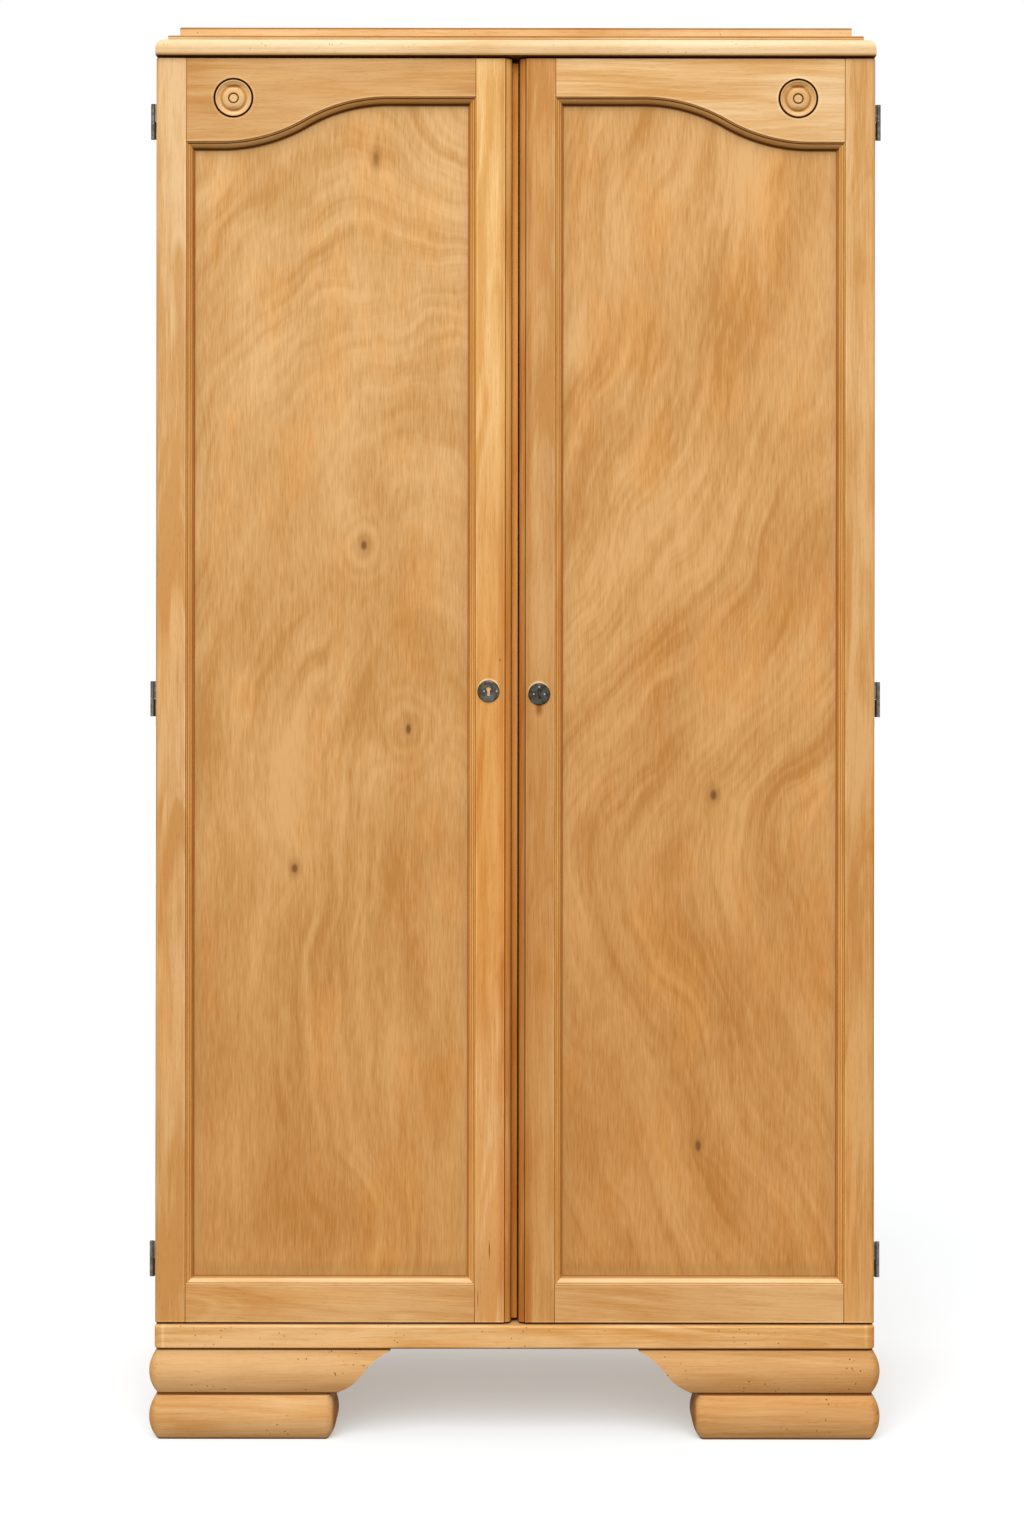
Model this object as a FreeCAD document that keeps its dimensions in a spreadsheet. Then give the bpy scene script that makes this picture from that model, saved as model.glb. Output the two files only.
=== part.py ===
import FreeCAD, Part
import math
import os
import re
import Sketcher
from FreeCAD import Rotation, Vector

# A free-standing two-door wardrobe of softwood boards, with framed doors and plywood panels.
# Millimetres. X runs to the right, Y from the front to the back and Z up. The origin is on the
# floor under the middle of the wardrobe. The left half is drawn, and the right half mirrors it.

SIZES = {
    # Overall
    "carcass_width": 915,
    "overall_depth": 460,
    # Heights, from the floor up
    "foot_height": 58,
    "bracket_height": 57,
    "plinth_height": 30,
    "door_gap": 2.5,
    "door_height": 1607,
    "cornice_height": 23,
    "lower_step_height": 6,
    "upper_step_height": 14,
    # Carcass boards
    "side_thickness": 18,
    "board_thickness": 18,
    "back_thickness": 6,
    "housing_depth": 6,
    "rebate_width": 9,
    # Cornice
    "cornice_round": 13.5,
    "lower_step_inset": 14,
    "upper_step_inset": 13.5,
    "step_round": 2,
    # Plinth
    "plinth_rail_depth": 45,
    "plinth_side_width": 40,
    "plinth_back_width": 40,
    "plinth_corner": 8,
    "plinth_top_round": 3,
    "plinth_bottom_round": 3.5,
    "glue_block_leg": 40,
    # Rolled feet and brackets
    "roll_overhang": 7,
    "roll_bulge": 11,
    "roll_corner": 4.5,
    "roll_lap": 1,
    "foot_width": 238.5,
    "foot_depth": 70,
    "rear_foot_width": 90,
    "bracket_length": 307,
    "bracket_thickness": 25,
    "scroll_run": 70,
    "scroll_radius": 78,
    "scroll_tip": 2.5,
    # Door frames
    "door_setback": 5,
    "door_thickness": 22,
    "stile_width": 39,
    "stile_round": 6,
    "meeting_stile_width": 46.3,
    "meeting_valley": 9,
    "edge_width": 8.9,
    "edge_quirk_width": 1.2,
    "edge_quirk_depth": 2,
    "bottom_rail_height": 48,
    "rail_shallow": 49,
    "rail_rise": 57,
    "curve_flat": 43,
    "curve_run": 213,
    "groove_depth": 8,
    "panel_depth": 10,
    "panel_thickness": 5,
    "panel_play": 1,
    "strip_recess": 14,
    "strip_clearance": 1.5,
    "strip_end_gap": 3,
    # Beads round the panels
    "bead_drop": 1.2,
    "bead_fillet": 1.8,
    "bead_quirk": 1,
    "bead_step": 0.5,
    "bead_toe": 1.5,
    "bead_foot": 1.6,
    # Rosettes
    "rosette_inset": 59.5,
    "rosette_drop": 50.5,
    "rosette_radius": 23.3,
    "rosette_margin": 1.6,
    "rosette_depth": 7,
    "rosette_rim": 1.6,
    "rosette_dish_radius": 15.8,
    "rosette_dish_depth": 3.6,
    "rosette_dish_curve": 12,
    "rosette_dome_radius": 6.4,
    "rosette_dome_depth": 0.8,
    "rosette_dome_curve": 11,
    "rosette_button_radius": 5,
    "rosette_groove_depth": 2,
    # Escutcheons
    "escutcheon_radius": 14,
    "escutcheon_thickness": 2.4,
    "escutcheon_round": 2,
    "left_escutcheon_inset": 29.5,
    "left_escutcheon_height": 802.5,
    "right_escutcheon_height": 799,
    "keyhole_radius": 3.1,
    "keyhole_slot": 3.4,
    "keyhole_rise": 3.4,
    "keyhole_drop": 6,
    "keyway_margin": 0.6,
    "tack_radius": 0.6,
    "tack_head_radius": 1.2,
    "tack_head_height": 0.6,
    "tack_length": 9,
    "tack_near": 5.4,
    "tack_far": 10.4,
    "tack_side": 6.8,
    "tack_top": 9.2,
    # Lift-off hinges
    "hinge_gap": 1.5,
    "hinge_inset": 76,
    "hinge_drop": 11,
    "leaf_height": 45,
    "leaf_margin": 2,
    "leaf_thickness": 1.2,
    "knuckle_radius": 3.1,
    "knuckle_clearance": 3.4,
    "knuckle_gap": 0.3,
    "pin_radius": 1.5,
    "pin_seat_clearance": 0.02,
    "pin_running_clearance": 0.05,
    # Countersunk screws
    "screw_radius": 1.6,
    "screw_head_radius": 3,
    "screw_length": 12,
    "screw_spacing": 26,
    "screw_clearance": 0.05,
    "screw_slot_width": 0.8,
    "screw_slot_depth": 0.6,
    # Bolts of the left door
    "bolt_radius": 4,
    "bolt_length": 150,
    "bolt_standoff": 12,
    "bolt_clearance": 2,
    "bolt_fit": 0.1,
    "bolt_hole_play": 0.5,
    "bolt_knob_radius": 3,
    "bolt_knob_reach": 12,
    "bolt_knob_play": 0.5,
    "guide_plate_width": 34,
    "guide_plate_thickness": 2,
    "guide_width": 16,
    "guide_height": 10,
    "guide_wall": 3,
    "guide_end": 6,
    "guide_tail": 20,
    # Lock of the right door
    "lock_height": 60,
    "lock_depth": 12,
    "lock_wall": 2,
    "lock_end_wall": 1.6,
    "lock_margin": 1.3,
    "lock_bolt_length": 20,
    "lock_bolt_height": 10,
    "lock_bolt_thickness": 4,
    "lock_bolt_setback": 0.3,
    "lock_bolt_fit": 0.1,
    "lock_mortise_play": 0.5,
    "drill_pin_radius": 1.5,
    "drill_pin_setback": 3,
    # Inside
    "shelf_height": 1287,
    "shelf_thickness": 15,
    "shelf_setback": 24.5,
    "cleat_width": 20,
    "cleat_height": 25,
    "rail_drop": 60,
    "rail_radius": 9.5,
    "rail_fit": 0.1,
    "rail_end_play": 0.4,
    "socket_radius": 16,
    "socket_length": 12,
    "socket_base": 3,
}

# Places and sizes that follow from the driving sizes
PLACES = {
    "half_width": "carcass_width / 2",
    "inner_half": "half_width - side_thickness",
    "front": "-overall_depth / 2",
    "back": "overall_depth / 2",
    "roll_outer": "half_width + roll_overhang",
    "neck_outer": "roll_outer - roll_bulge",
    "neck_front": "front + roll_bulge",
    "bracket_inside": "neck_front + bracket_thickness",
    "scroll_top": "plinth_bottom - scroll_tip",
    "bracket_tip": "roll_outer - bracket_length",
    "plinth_front": "front + roll_overhang",
    "plinth_inner": "plinth_front + plinth_rail_depth",
    "plinth_side": "half_width - plinth_side_width",
    "plinth_back": "back - plinth_back_width",
    "plinth_bottom": "foot_height + bracket_height",
    "door_front": "plinth_front + door_setback",
    "panel_front": "door_front + panel_depth",
    "panel_back": "panel_front + panel_thickness",
    "door_back": "door_front + door_thickness",
    "carcass_front": "door_back + hinge_gap",
    "board_back": "back - back_thickness",
    "carcass_bottom": "plinth_bottom + plinth_height",
    "floor_level": "carcass_bottom + board_thickness",
    "door_bottom": "carcass_bottom + door_gap",
    "door_top": "door_bottom + door_height",
    "carcass_top": "door_top + door_gap",
    "ceiling_level": "carcass_top - board_thickness",
    "cornice_top": "carcass_top + cornice_height",
    "lower_step_top": "cornice_top + lower_step_height",
    "upper_step_top": "lower_step_top + upper_step_height",
    "stile_edge": "half_width - stile_width",
    "meeting_edge": "meeting_valley / 2",
    "meeting_inner": "meeting_edge + meeting_stile_width",
    "opening_bottom": "door_bottom + bottom_rail_height",
    "rail_high": "door_top - rail_shallow",
    "rail_low": "rail_high - rail_rise",
    "curve_start": "stile_edge - curve_flat",
    "curve_middle": "curve_start - curve_run / 2",
    "curve_end": "curve_start - curve_run",
    "curve_radius": "(curve_run ^ 2 + rail_rise ^ 2) / (4 * rail_rise)",
    "bead_round": "panel_depth - bead_foot - bead_step - bead_quirk - bead_drop",
    "bead_width": "bead_fillet + bead_round + bead_toe",
    "edge_round": "edge_width - edge_quirk_width",
    "rosette_x": "stile_edge - rosette_inset",
    "rosette_z": "door_top - rosette_drop",
    "left_plate_x": "-meeting_edge - left_escutcheon_inset",
    "left_plate_z": "door_bottom + left_escutcheon_height",
    "right_plate_x": "meeting_edge + lock_width - lock_end_wall - key_well_radius",
    "right_plate_z": "door_bottom + right_escutcheon_height",
    "plate_front": "door_front - escutcheon_thickness",
    "leaf_width": "side_thickness - leaf_margin",
    "knuckle_x": "half_width + knuckle_radius + knuckle_clearance",
    "knuckle_y": "door_back + hinge_gap / 2",
    "leaf_middle": "half_width - leaf_width / 2",
    "bolt_x": "meeting_edge + meeting_stile_width / 2",
    "bolt_y": "door_back + bolt_standoff",
    "bolt_tip": "ceiling_level - bolt_clearance",
    "guide_top": "bolt_tip - guide_end",
    "guide_bottom": "bolt_tip - bolt_length + guide_tail",
    "guide_screw_offset": "(guide_width + guide_plate_width) / 4",
    "knob_level": "guide_bottom + guide_height + bolt_knob_radius + bolt_knob_play",
    "lock_width": "meeting_stile_width - groove_depth - lock_margin",
    "lock_z": "right_plate_z + keyhole_rise",
    "lock_front": "door_back - lock_depth",
    "strip_front": "door_front + strip_recess",
    "lock_bolt_y": "(strip_front + door_back) / 2",
    "lock_bolt_front": "meeting_edge + lock_bolt_setback",
    "lock_bolt_tail": "lock_bolt_front + lock_bolt_length",
    "key_well_radius": "keyhole_rise + keyhole_drop",
    "shelf_bottom": "floor_level + shelf_height",
    "rail_z": "shelf_bottom - rail_drop",
    "rail_y": "(carcass_front + board_back) / 2",
    "rail_end": "inner_half - socket_base - rail_end_play",
}

HINGE_LEVELS = (
    "door_top - hinge_inset",
    "door_bottom + door_height / 2 - hinge_drop",
    "door_bottom + hinge_inset",
)

# Two points nearer than this are one point
TOUCH = 1e-3

# How a round piece is turned to run along an axis
TURNS = {
    "+x": Rotation(Vector(0, 1, 0), 90),
    "+y": Rotation(Vector(1, 0, 0), -90),
    "-y": Rotation(Vector(1, 0, 0), 90),
    "+z": Rotation(),
}

doc = FreeCAD.newDocument("wardrobe")
sheet = doc.addObject("Spreadsheet::Sheet", "dims")
for row, (alias, size) in enumerate(SIZES.items(), start=1):
    sheet.set(f"A{row}", alias)
    sheet.set(f"B{row}", str(size))
    sheet.setAlias(f"B{row}", alias)
doc.recompute()

nodes = []


def formula(text):
    """Write out a formula: sizes become cells of the sheet, and places the formulas they stand for."""

    def swap(match):
        word = match.group(0)
        if word in PLACES:
            return "(" + formula(PLACES[word]) + ")"
        return "dims." + word if word in SIZES else word

    return re.sub(r"[a-z_]+", swap, text)


def value(text):
    """The number that a formula gives now."""
    return float(sheet.evalExpression(formula(text)))


def node(label, piece):
    """Name a finished piece and put it on the list of those that are written out."""
    piece.Label = label
    nodes.append(piece)
    return piece


def box(name, x_span, y_span, z_span):
    """A square-edged block between pairs of faces."""
    block = doc.addObject("Part::Box", name)
    for axis, length, (low, high) in zip("xyz", ("Length", "Width", "Height"), (x_span, y_span, z_span)):
        block.setExpression("Placement.Base." + axis, formula(low))
        block.setExpression(length, formula(f"({high}) - ({low})"))
    return block


def place_round(piece, axis, centre):
    """Turn a round piece, which is made along Z, to run along an axis from a centre."""
    piece.Placement.Rotation = TURNS[axis]
    for letter, place in zip("xyz", centre):
        piece.setExpression("Placement.Base." + letter, formula(place))


def cylinder(name, axis, centre, radius, length):
    """A round bar that starts at a centre."""
    bar = doc.addObject("Part::Cylinder", name)
    bar.setExpression("Radius", formula(radius))
    bar.setExpression("Height", formula(length))
    place_round(bar, axis, centre)
    return bar


def cone(name, axis, centre, first_radius, last_radius, length):
    """A round taper that starts at a centre."""
    taper = doc.addObject("Part::Cone", name)
    taper.setExpression("Radius1", formula(first_radius))
    taper.setExpression("Radius2", formula(last_radius))
    taper.setExpression("Height", formula(length))
    place_round(taper, axis, centre)
    return taper


def cut(name, base, *tools):
    """Take each tool away from the base."""
    for tool in tools:
        remainder = doc.addObject("Part::Cut", name + "_cut")
        remainder.Base = base
        remainder.Tool = tool
        base = remainder
    return base


def fuse(name, *pieces):
    """Join pieces that overlap or touch into one."""
    joined = doc.addObject("Part::MultiFuse", name + "_joined")
    joined.Shapes = pieces
    joined.Refine = True
    return joined


def group(name, pieces):
    """Keep separate pieces together under one name."""
    kept = doc.addObject("Part::Compound", name + "_group")
    kept.Links = pieces
    return kept


def mirror(piece):
    """The same piece on the other side of the wardrobe."""
    twin = doc.addObject("Part::Mirroring", "right_twin")
    twin.Source = piece
    twin.Normal = Vector(1, 0, 0)
    return twin


def turn_over(piece):
    """The same piece at the other end of the doors' height."""
    twin = doc.addObject("Part::Mirroring", "lower_twin")
    twin.Source = piece
    twin.Normal = Vector(0, 0, 1)
    twin.setExpression("Base.z", formula("(floor_level + ceiling_level) / 2"))
    return twin


def pair(label, piece):
    """Name a left piece and its right twin."""
    node("left_" + label, piece)
    node("right_" + label, mirror(piece))


def body(name):
    """An empty body for sketched features."""
    return doc.addObject("PartDesign::Body", name + "_body")


def sketch_on(piece, plane, out, up="0"):
    """A sketch on one of the body's own planes, with its origin moved out of the plane and up in it."""
    flat = next(item for item in piece.Origin.OriginFeatures if item.Role == plane)
    sketch = piece.newObject("Sketcher::SketchObject", "sketch")
    sketch.AttachmentSupport = (flat, [""])
    sketch.MapMode = "FlatFace"
    sketch.setExpression("AttachmentOffset.Base.y", formula(up))
    sketch.setExpression("AttachmentOffset.Base.z", formula(out))
    return sketch


def plan_sketch(piece, level):
    """A sketch seen from above, at a height."""
    return sketch_on(piece, "XY_Plane", level)


def front_sketch(piece, depth):
    """A sketch seen from the front, at a place from front to back."""
    return sketch_on(piece, "XZ_Plane", f"-({depth})")


def side_sketch(piece, station, up="0"):
    """A sketch across the depth, at a place from left to right."""
    return sketch_on(piece, "YZ_Plane", station, up)


def arc_between(start, end, radius, turn):
    """The shorter arc from start to end, turning left for 1 and right for -1."""
    chord = end - start
    rise = math.sqrt(max(radius ** 2 - chord.Length ** 2 / 4, 0))
    sideways = Vector(-chord.y, chord.x, 0).normalize() * turn
    centre = (start + end) / 2 + sideways * rise
    angles = [math.atan2(point.y - centre.y, point.x - centre.x) for point in (start, end)]
    if turn < 0:
        angles.reverse()
    return Part.ArcOfCircle(Part.Circle(centre, Vector(0, 0, 1), radius), *angles)


def hold(sketch, kind, points, size):
    """Add a constraint whose value is a formula."""
    number = sketch.addConstraint(Sketcher.Constraint(kind, *points, value(size)))
    sketch.setExpression(f"Constraints[{number}]", formula(size))


def draw(sketch, corners, closed=True):
    """Draw an outline through corners, each held at its place.

    A corner is (x, y), or (x, y, turn, radius) where an arc leaves it.
    """
    places = [Vector(value(corner[0]), value(corner[1]), 0) for corner in corners]
    sides = len(corners) if closed else len(corners) - 1
    ends = []
    for index in range(sides):
        start = places[index]
        end = places[(index + 1) % len(places)]
        if len(corners[index]) == 2:
            sketch.addGeometry(Part.LineSegment(start, end))
            ends.append((1, 2))
        else:
            turn, radius = corners[index][2:]
            number = sketch.addGeometry(arc_between(start, end, value(radius), turn))
            ends.append((1, 2) if turn > 0 else (2, 1))
            hold(sketch, "Radius", (number,), radius)
    for index in range(sides if closed else sides - 1):
        after = (index + 1) % sides
        joint = Sketcher.Constraint("Coincident", index, ends[index][1], after, ends[after][0])
        sketch.addConstraint(joint)
    for index, corner in enumerate(corners):
        held = (index, ends[index][0]) if index < sides else (sides - 1, ends[-1][1])
        hold(sketch, "DistanceX", (-1, 1) + held, corner[0])
        hold(sketch, "DistanceY", (-1, 1) + held, corner[1])
    return sketch


def rectangle(x_span, y_span):
    """The corners of an upright rectangle."""
    return [(x_span[0], y_span[0]), (x_span[1], y_span[0]), (x_span[1], y_span[1]), (x_span[0], y_span[1])]


def pad(piece, sketch, length, backwards=False):
    """Thicken a sketch along its normal, or against it."""
    feature = piece.newObject("PartDesign::Pad", "pad")
    feature.Profile = sketch
    feature.Reversed = backwards
    feature.setExpression("Length", formula(length))


def pocket(piece, sketch, depth):
    """Cut a sketch into the body, against the sketch's normal."""
    doc.recompute()
    before = piece.Shape.Volume
    feature = piece.newObject("PartDesign::Pocket", "pocket")
    feature.Profile = sketch
    feature.setExpression("Length", formula(depth))
    doc.recompute()
    if piece.Shape.Volume > before - TOUCH:
        raise RuntimeError(piece.Name + ": a pocket cuts nothing")


def sweep(piece, profile, path):
    """Run a profile along a path."""
    feature = piece.newObject("PartDesign::AdditivePipe", "sweep")
    feature.Profile = profile
    feature.Spine = (path, [""])


def turned(name, x, z, corners):
    """A piece turned about an axis that runs front to back, from its half section of (y, radius)."""
    piece = body(name)
    sketch = draw(side_sketch(piece, x, z), corners)
    feature = piece.newObject("PartDesign::Revolution", "turning")
    feature.Profile = sketch
    feature.ReferenceAxis = (sketch, ["H_Axis"])
    feature.Angle = 360
    return piece


def round_rim(piece, radius, level, back_line):
    """Round the edges of a flat rim at a level, except the one along a back line."""
    doc.recompute()
    base = piece.Tip
    rim_z, back_y = value(level), value(back_line)
    chosen = []
    for number, edge in enumerate(base.Shape.Edges, start=1):
        points = [vertex.Point for vertex in edge.Vertexes]
        on_rim = all(abs(point.z - rim_z) < TOUCH for point in points)
        at_back = all(abs(point.y - back_y) < TOUCH for point in points)
        if on_rim and not at_back:
            chosen.append(f"Edge{number}")
    feature = piece.newObject("PartDesign::Fillet", "round")
    feature.Base = (base, chosen)
    feature.setExpression("Radius", formula(radius))


# Feet

def roll_profile(piece, station, face, low, high):
    """The bulge of a roll, drawn across a path that runs along X past a station."""
    radius = f"((({high}) - ({low})) ^ 2 / 4 + roll_bulge ^ 2) / (2 * roll_bulge)"
    lap = f"({face}) + roll_lap"
    return draw(side_sketch(piece, station), [(lap, low), (face, low, -1, radius), (face, high), (lap, high)])


def cushion_foot(name, x_span, y_span):
    """A block foot with all four sides bulged, between its widest lines."""
    left, right = f"({x_span[0]}) + roll_bulge", f"({x_span[1]}) - roll_bulge"
    near, far = f"({y_span[0]}) + roll_bulge", f"({y_span[1]}) - roll_bulge"
    inner_left, inner_right = left + " + roll_corner", right + " - roll_corner"
    inner_near, inner_far = near + " + roll_corner", far + " - roll_corner"
    rounded = [
        (inner_left, near),
        (inner_right, near, 1, "roll_corner"),
        (right, inner_near),
        (right, inner_far, 1, "roll_corner"),
        (inner_right, far),
        (inner_left, far, 1, "roll_corner"),
        (left, inner_far),
        (left, inner_near, 1, "roll_corner"),
    ]
    foot = body(name)
    pad(foot, draw(plan_sketch(foot, "0"), rounded), "foot_height")
    profile = roll_profile(foot, inner_left, near, "0", "foot_height")
    sweep(foot, profile, draw(plan_sketch(foot, "0"), rounded))
    return foot


def bracket():
    """The upper roll of a front foot: a bulged board round the corner with a scrolled inner end."""
    board = body("bracket")
    corner_x, corner_y = "-neck_outer + roll_corner", "neck_front + roll_corner"
    plan = [
        ("-neck_outer", corner_y, 1, "roll_corner"),
        (corner_x, "neck_front"),
        ("-bracket_tip", "neck_front"),
        ("-bracket_tip", "bracket_inside"),
        ("-neck_outer", "bracket_inside"),
    ]
    pad(board, draw(plan_sketch(board, "foot_height"), plan), "bracket_height")
    path = [
        ("-bracket_tip", "neck_front"),
        (corner_x, "neck_front", -1, "roll_corner"),
        ("-neck_outer", corner_y),
        ("-neck_outer", "bracket_inside"),
    ]
    profile = roll_profile(board, "-bracket_tip", "neck_front", "foot_height", "plinth_bottom")
    sweep(board, profile, draw(plan_sketch(board, "foot_height"), path, closed=False))
    scroll = [
        ("-bracket_tip", "scroll_top", 1, "scroll_radius"),
        ("-bracket_tip - scroll_run / 2", "(scroll_top + foot_height) / 2", -1, "scroll_radius"),
        ("-bracket_tip - scroll_run", "foot_height"),
        ("-bracket_tip", "foot_height"),
    ]
    pocket(board, draw(front_sketch(board, "front"), scroll), "bracket_inside - front")
    return board


def side_roll():
    """The upper roll along the side, from the front bracket to the back."""
    roll = body("side_roll")
    radius = "(bracket_height ^ 2 / 4 + roll_bulge ^ 2) / (2 * roll_bulge)"
    inside = "-neck_outer + bracket_thickness"
    section = [
        (inside, "foot_height"),
        (inside, "plinth_bottom"),
        ("-neck_outer", "plinth_bottom", 1, radius),
        ("-neck_outer", "foot_height"),
    ]
    sketch = draw(front_sketch(roll, "bracket_inside"), section)
    pad(roll, sketch, "back - bracket_inside", backwards=True)
    return roll


def build_feet():
    """Feet in two tiers: brackets and side rolls above, cushions below."""
    front_y = ("front", "front + foot_depth")
    rear_y = ("back - foot_depth", "back")
    pair("front_foot", cushion_foot("front_foot", ("-roll_outer", "-roll_outer + foot_width"), front_y))
    pair("rear_foot", cushion_foot("rear_foot", ("-roll_outer", "-roll_outer + rear_foot_width"), rear_y))
    pair("bracket", bracket())
    pair("side_roll", side_roll())


# Plinth

def plinth_front_rail():
    """The front rail, rounded at its corners and along its edges."""
    rail = body("plinth_front_rail")
    outline = [
        ("-half_width", "plinth_front + plinth_corner", 1, "plinth_corner"),
        ("-half_width + plinth_corner", "plinth_front"),
        ("half_width - plinth_corner", "plinth_front", 1, "plinth_corner"),
        ("half_width", "plinth_front + plinth_corner"),
        ("half_width", "plinth_inner"),
        ("-half_width", "plinth_inner"),
    ]
    pad(rail, draw(plan_sketch(rail, "plinth_bottom"), outline), "plinth_height")
    round_rim(rail, "plinth_top_round", "carcass_bottom", "plinth_inner")
    round_rim(rail, "plinth_bottom_round", "plinth_bottom", "plinth_inner")
    return rail


def plinth_side_rail():
    """A side rail with the front rail's rounded edges on its outside."""
    rail = body("plinth_side_rail")
    section = [
        ("-plinth_side", "plinth_bottom"),
        ("-plinth_side", "carcass_bottom"),
        ("-half_width + plinth_top_round", "carcass_bottom", 1, "plinth_top_round"),
        ("-half_width", "carcass_bottom - plinth_top_round"),
        ("-half_width", "plinth_bottom + plinth_bottom_round", 1, "plinth_bottom_round"),
        ("-half_width + plinth_bottom_round", "plinth_bottom"),
    ]
    pad(rail, draw(front_sketch(rail, "plinth_inner"), section), "back - plinth_inner", backwards=True)
    return rail


def glue_block(corner_y, leg_end_y):
    """A three-cornered block glued into an inside corner of the plinth."""
    block = body("glue_block")
    outline = [
        ("-plinth_side", corner_y),
        ("-plinth_side + glue_block_leg", corner_y),
        ("-plinth_side", leg_end_y),
    ]
    pad(block, draw(plan_sketch(block, "plinth_bottom"), outline), "plinth_height")
    return block


def build_plinth():
    """A frame of four rails with a glue block in each corner."""
    node("plinth_front_rail", plinth_front_rail())
    pair("plinth_rail", plinth_side_rail())
    heights = ("plinth_bottom", "carcass_bottom")
    back_rail = box("plinth_back_rail", ("-plinth_side", "plinth_side"), ("plinth_back", "back"), heights)
    node("plinth_back_rail", back_rail)
    blocks = [
        glue_block("plinth_inner", "plinth_inner + glue_block_leg"),
        glue_block("plinth_back", "plinth_back - glue_block_leg"),
    ]
    node("glue_blocks", group("glue_blocks", blocks + [mirror(block) for block in blocks]))


# Cornice

def cornice_layer(name, inset, bottom, top, rounding):
    """One board of the cornice, set in at the front and sides and rounded along its top edge."""
    layer = body(name)
    edges = (f"-half_width + {inset}", f"half_width - ({inset})")
    outline = rectangle(edges, (f"plinth_front + {inset}", "back"))
    pad(layer, draw(plan_sketch(layer, bottom), outline), f"{top} - {bottom}")
    round_rim(layer, rounding, top, "back")
    node(name, layer)


def build_cornice():
    """Three boards, each smaller than the one it lies on."""
    steps_inset = "lower_step_inset + upper_step_inset"
    cornice_layer("cornice_board", "0", "carcass_top", "cornice_top", "cornice_round")
    cornice_layer("cornice_lower_step", "lower_step_inset", "cornice_top", "lower_step_top", "step_round")
    cornice_layer("cornice_upper_step", steps_inset, "lower_step_top", "upper_step_top", "step_round")


# Hinges and screws

def screw(x, axis, face, z):
    """A countersunk screw and the hole that it needs, driven from a face."""
    inwards = axis[0]
    neck = f"({face}) {inwards} leaf_thickness"
    solids = []
    for play in ("0", "screw_clearance"):
        radius = f"screw_radius + {play}"
        head = cone("head", axis, (x, face, z), f"screw_head_radius + {play}", radius, "leaf_thickness")
        shank = cylinder("shank", axis, (x, neck, z), radius, "screw_length")
        solids.append(fuse("screw", head, shank))
    slot_ends = [face, f"({face}) {inwards} screw_slot_depth"]
    slot_y = slot_ends if inwards == "+" else slot_ends[::-1]
    slot_x = (f"{x} - 2 * screw_head_radius", f"{x} + 2 * screw_head_radius")
    slot_z = (f"{z} - screw_slot_width / 2", f"{z} + screw_slot_width / 2")
    return cut("screw", solids[0], box("slot", slot_x, slot_y, slot_z)), solids[1]


def hinge_leaf(level, plate_y, axis, face, knuckle_z, clearance):
    """One leaf of a hinge with half of the knuckle, its screws, and what its seat is cut with."""
    plate_z = (f"{level} - leaf_height / 2", f"{level} + leaf_height / 2")
    plate = box("leaf_plate", ("-half_width", "-half_width + leaf_width"), plate_y, plate_z)
    tongue = box("leaf_tongue", ("-knuckle_x", "-half_width"), plate_y, knuckle_z)
    foot = ("-knuckle_x", "knuckle_y", knuckle_z[0])
    length = f"({knuckle_z[1]}) - ({knuckle_z[0]})"
    knuckle = cylinder("knuckle", "+z", foot, "knuckle_radius", length)
    bore = cylinder("knuckle_bore", "+z", foot, f"pin_radius + {clearance}", length)
    screws = []
    holes = []
    for side in "+-":
        driven, hole = screw("-leaf_middle", axis, face, f"{level} {side} screw_spacing / 2")
        screws.append(driven)
        holes.append(hole)
    leaf = cut("leaf", fuse("leaf", plate, tongue, knuckle), bore, *holes)
    return leaf, screws, [plate] + holes


def build_hinges():
    """Three lift-off hinges for each door. Returns the door's screws and the cutters of both seats."""
    carcass_leaves, door_leaves, pins = [], [], []
    carcass_screws, door_screws = [], []
    carcass_cutters, door_cutters = [], []
    for level in HINGE_LEVELS:
        lower = (f"{level} - leaf_height / 2", f"{level} - knuckle_gap / 2")
        upper = (f"{level} + knuckle_gap / 2", f"{level} + leaf_height / 2")
        plate_y = ("carcass_front", "carcass_front + leaf_thickness")
        leaf, screws, cutters = hinge_leaf(level, plate_y, "+y", "carcass_front", lower, "pin_seat_clearance")
        carcass_leaves.append(leaf)
        carcass_screws += screws
        carcass_cutters += cutters
        plate_y = ("door_back - leaf_thickness", "door_back")
        leaf, screws, cutters = hinge_leaf(level, plate_y, "-y", "door_back", upper, "pin_running_clearance")
        door_leaves.append(leaf)
        door_screws += screws
        door_cutters += cutters
        pins.append(cylinder("pin", "+z", ("-knuckle_x", "knuckle_y", lower[0]), "pin_radius", "leaf_height"))
    for label, pieces in (
        ("carcass_hinge_leaves", carcass_leaves),
        ("hinge_pins", pins),
        ("carcass_screws", carcass_screws),
    ):
        node(label, group(label, pieces + [mirror(piece) for piece in pieces]))
    pair("door_hinge_leaves", group("door_hinge_leaves", door_leaves))
    return door_screws, carcass_cutters, door_cutters


# Carcass

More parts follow.
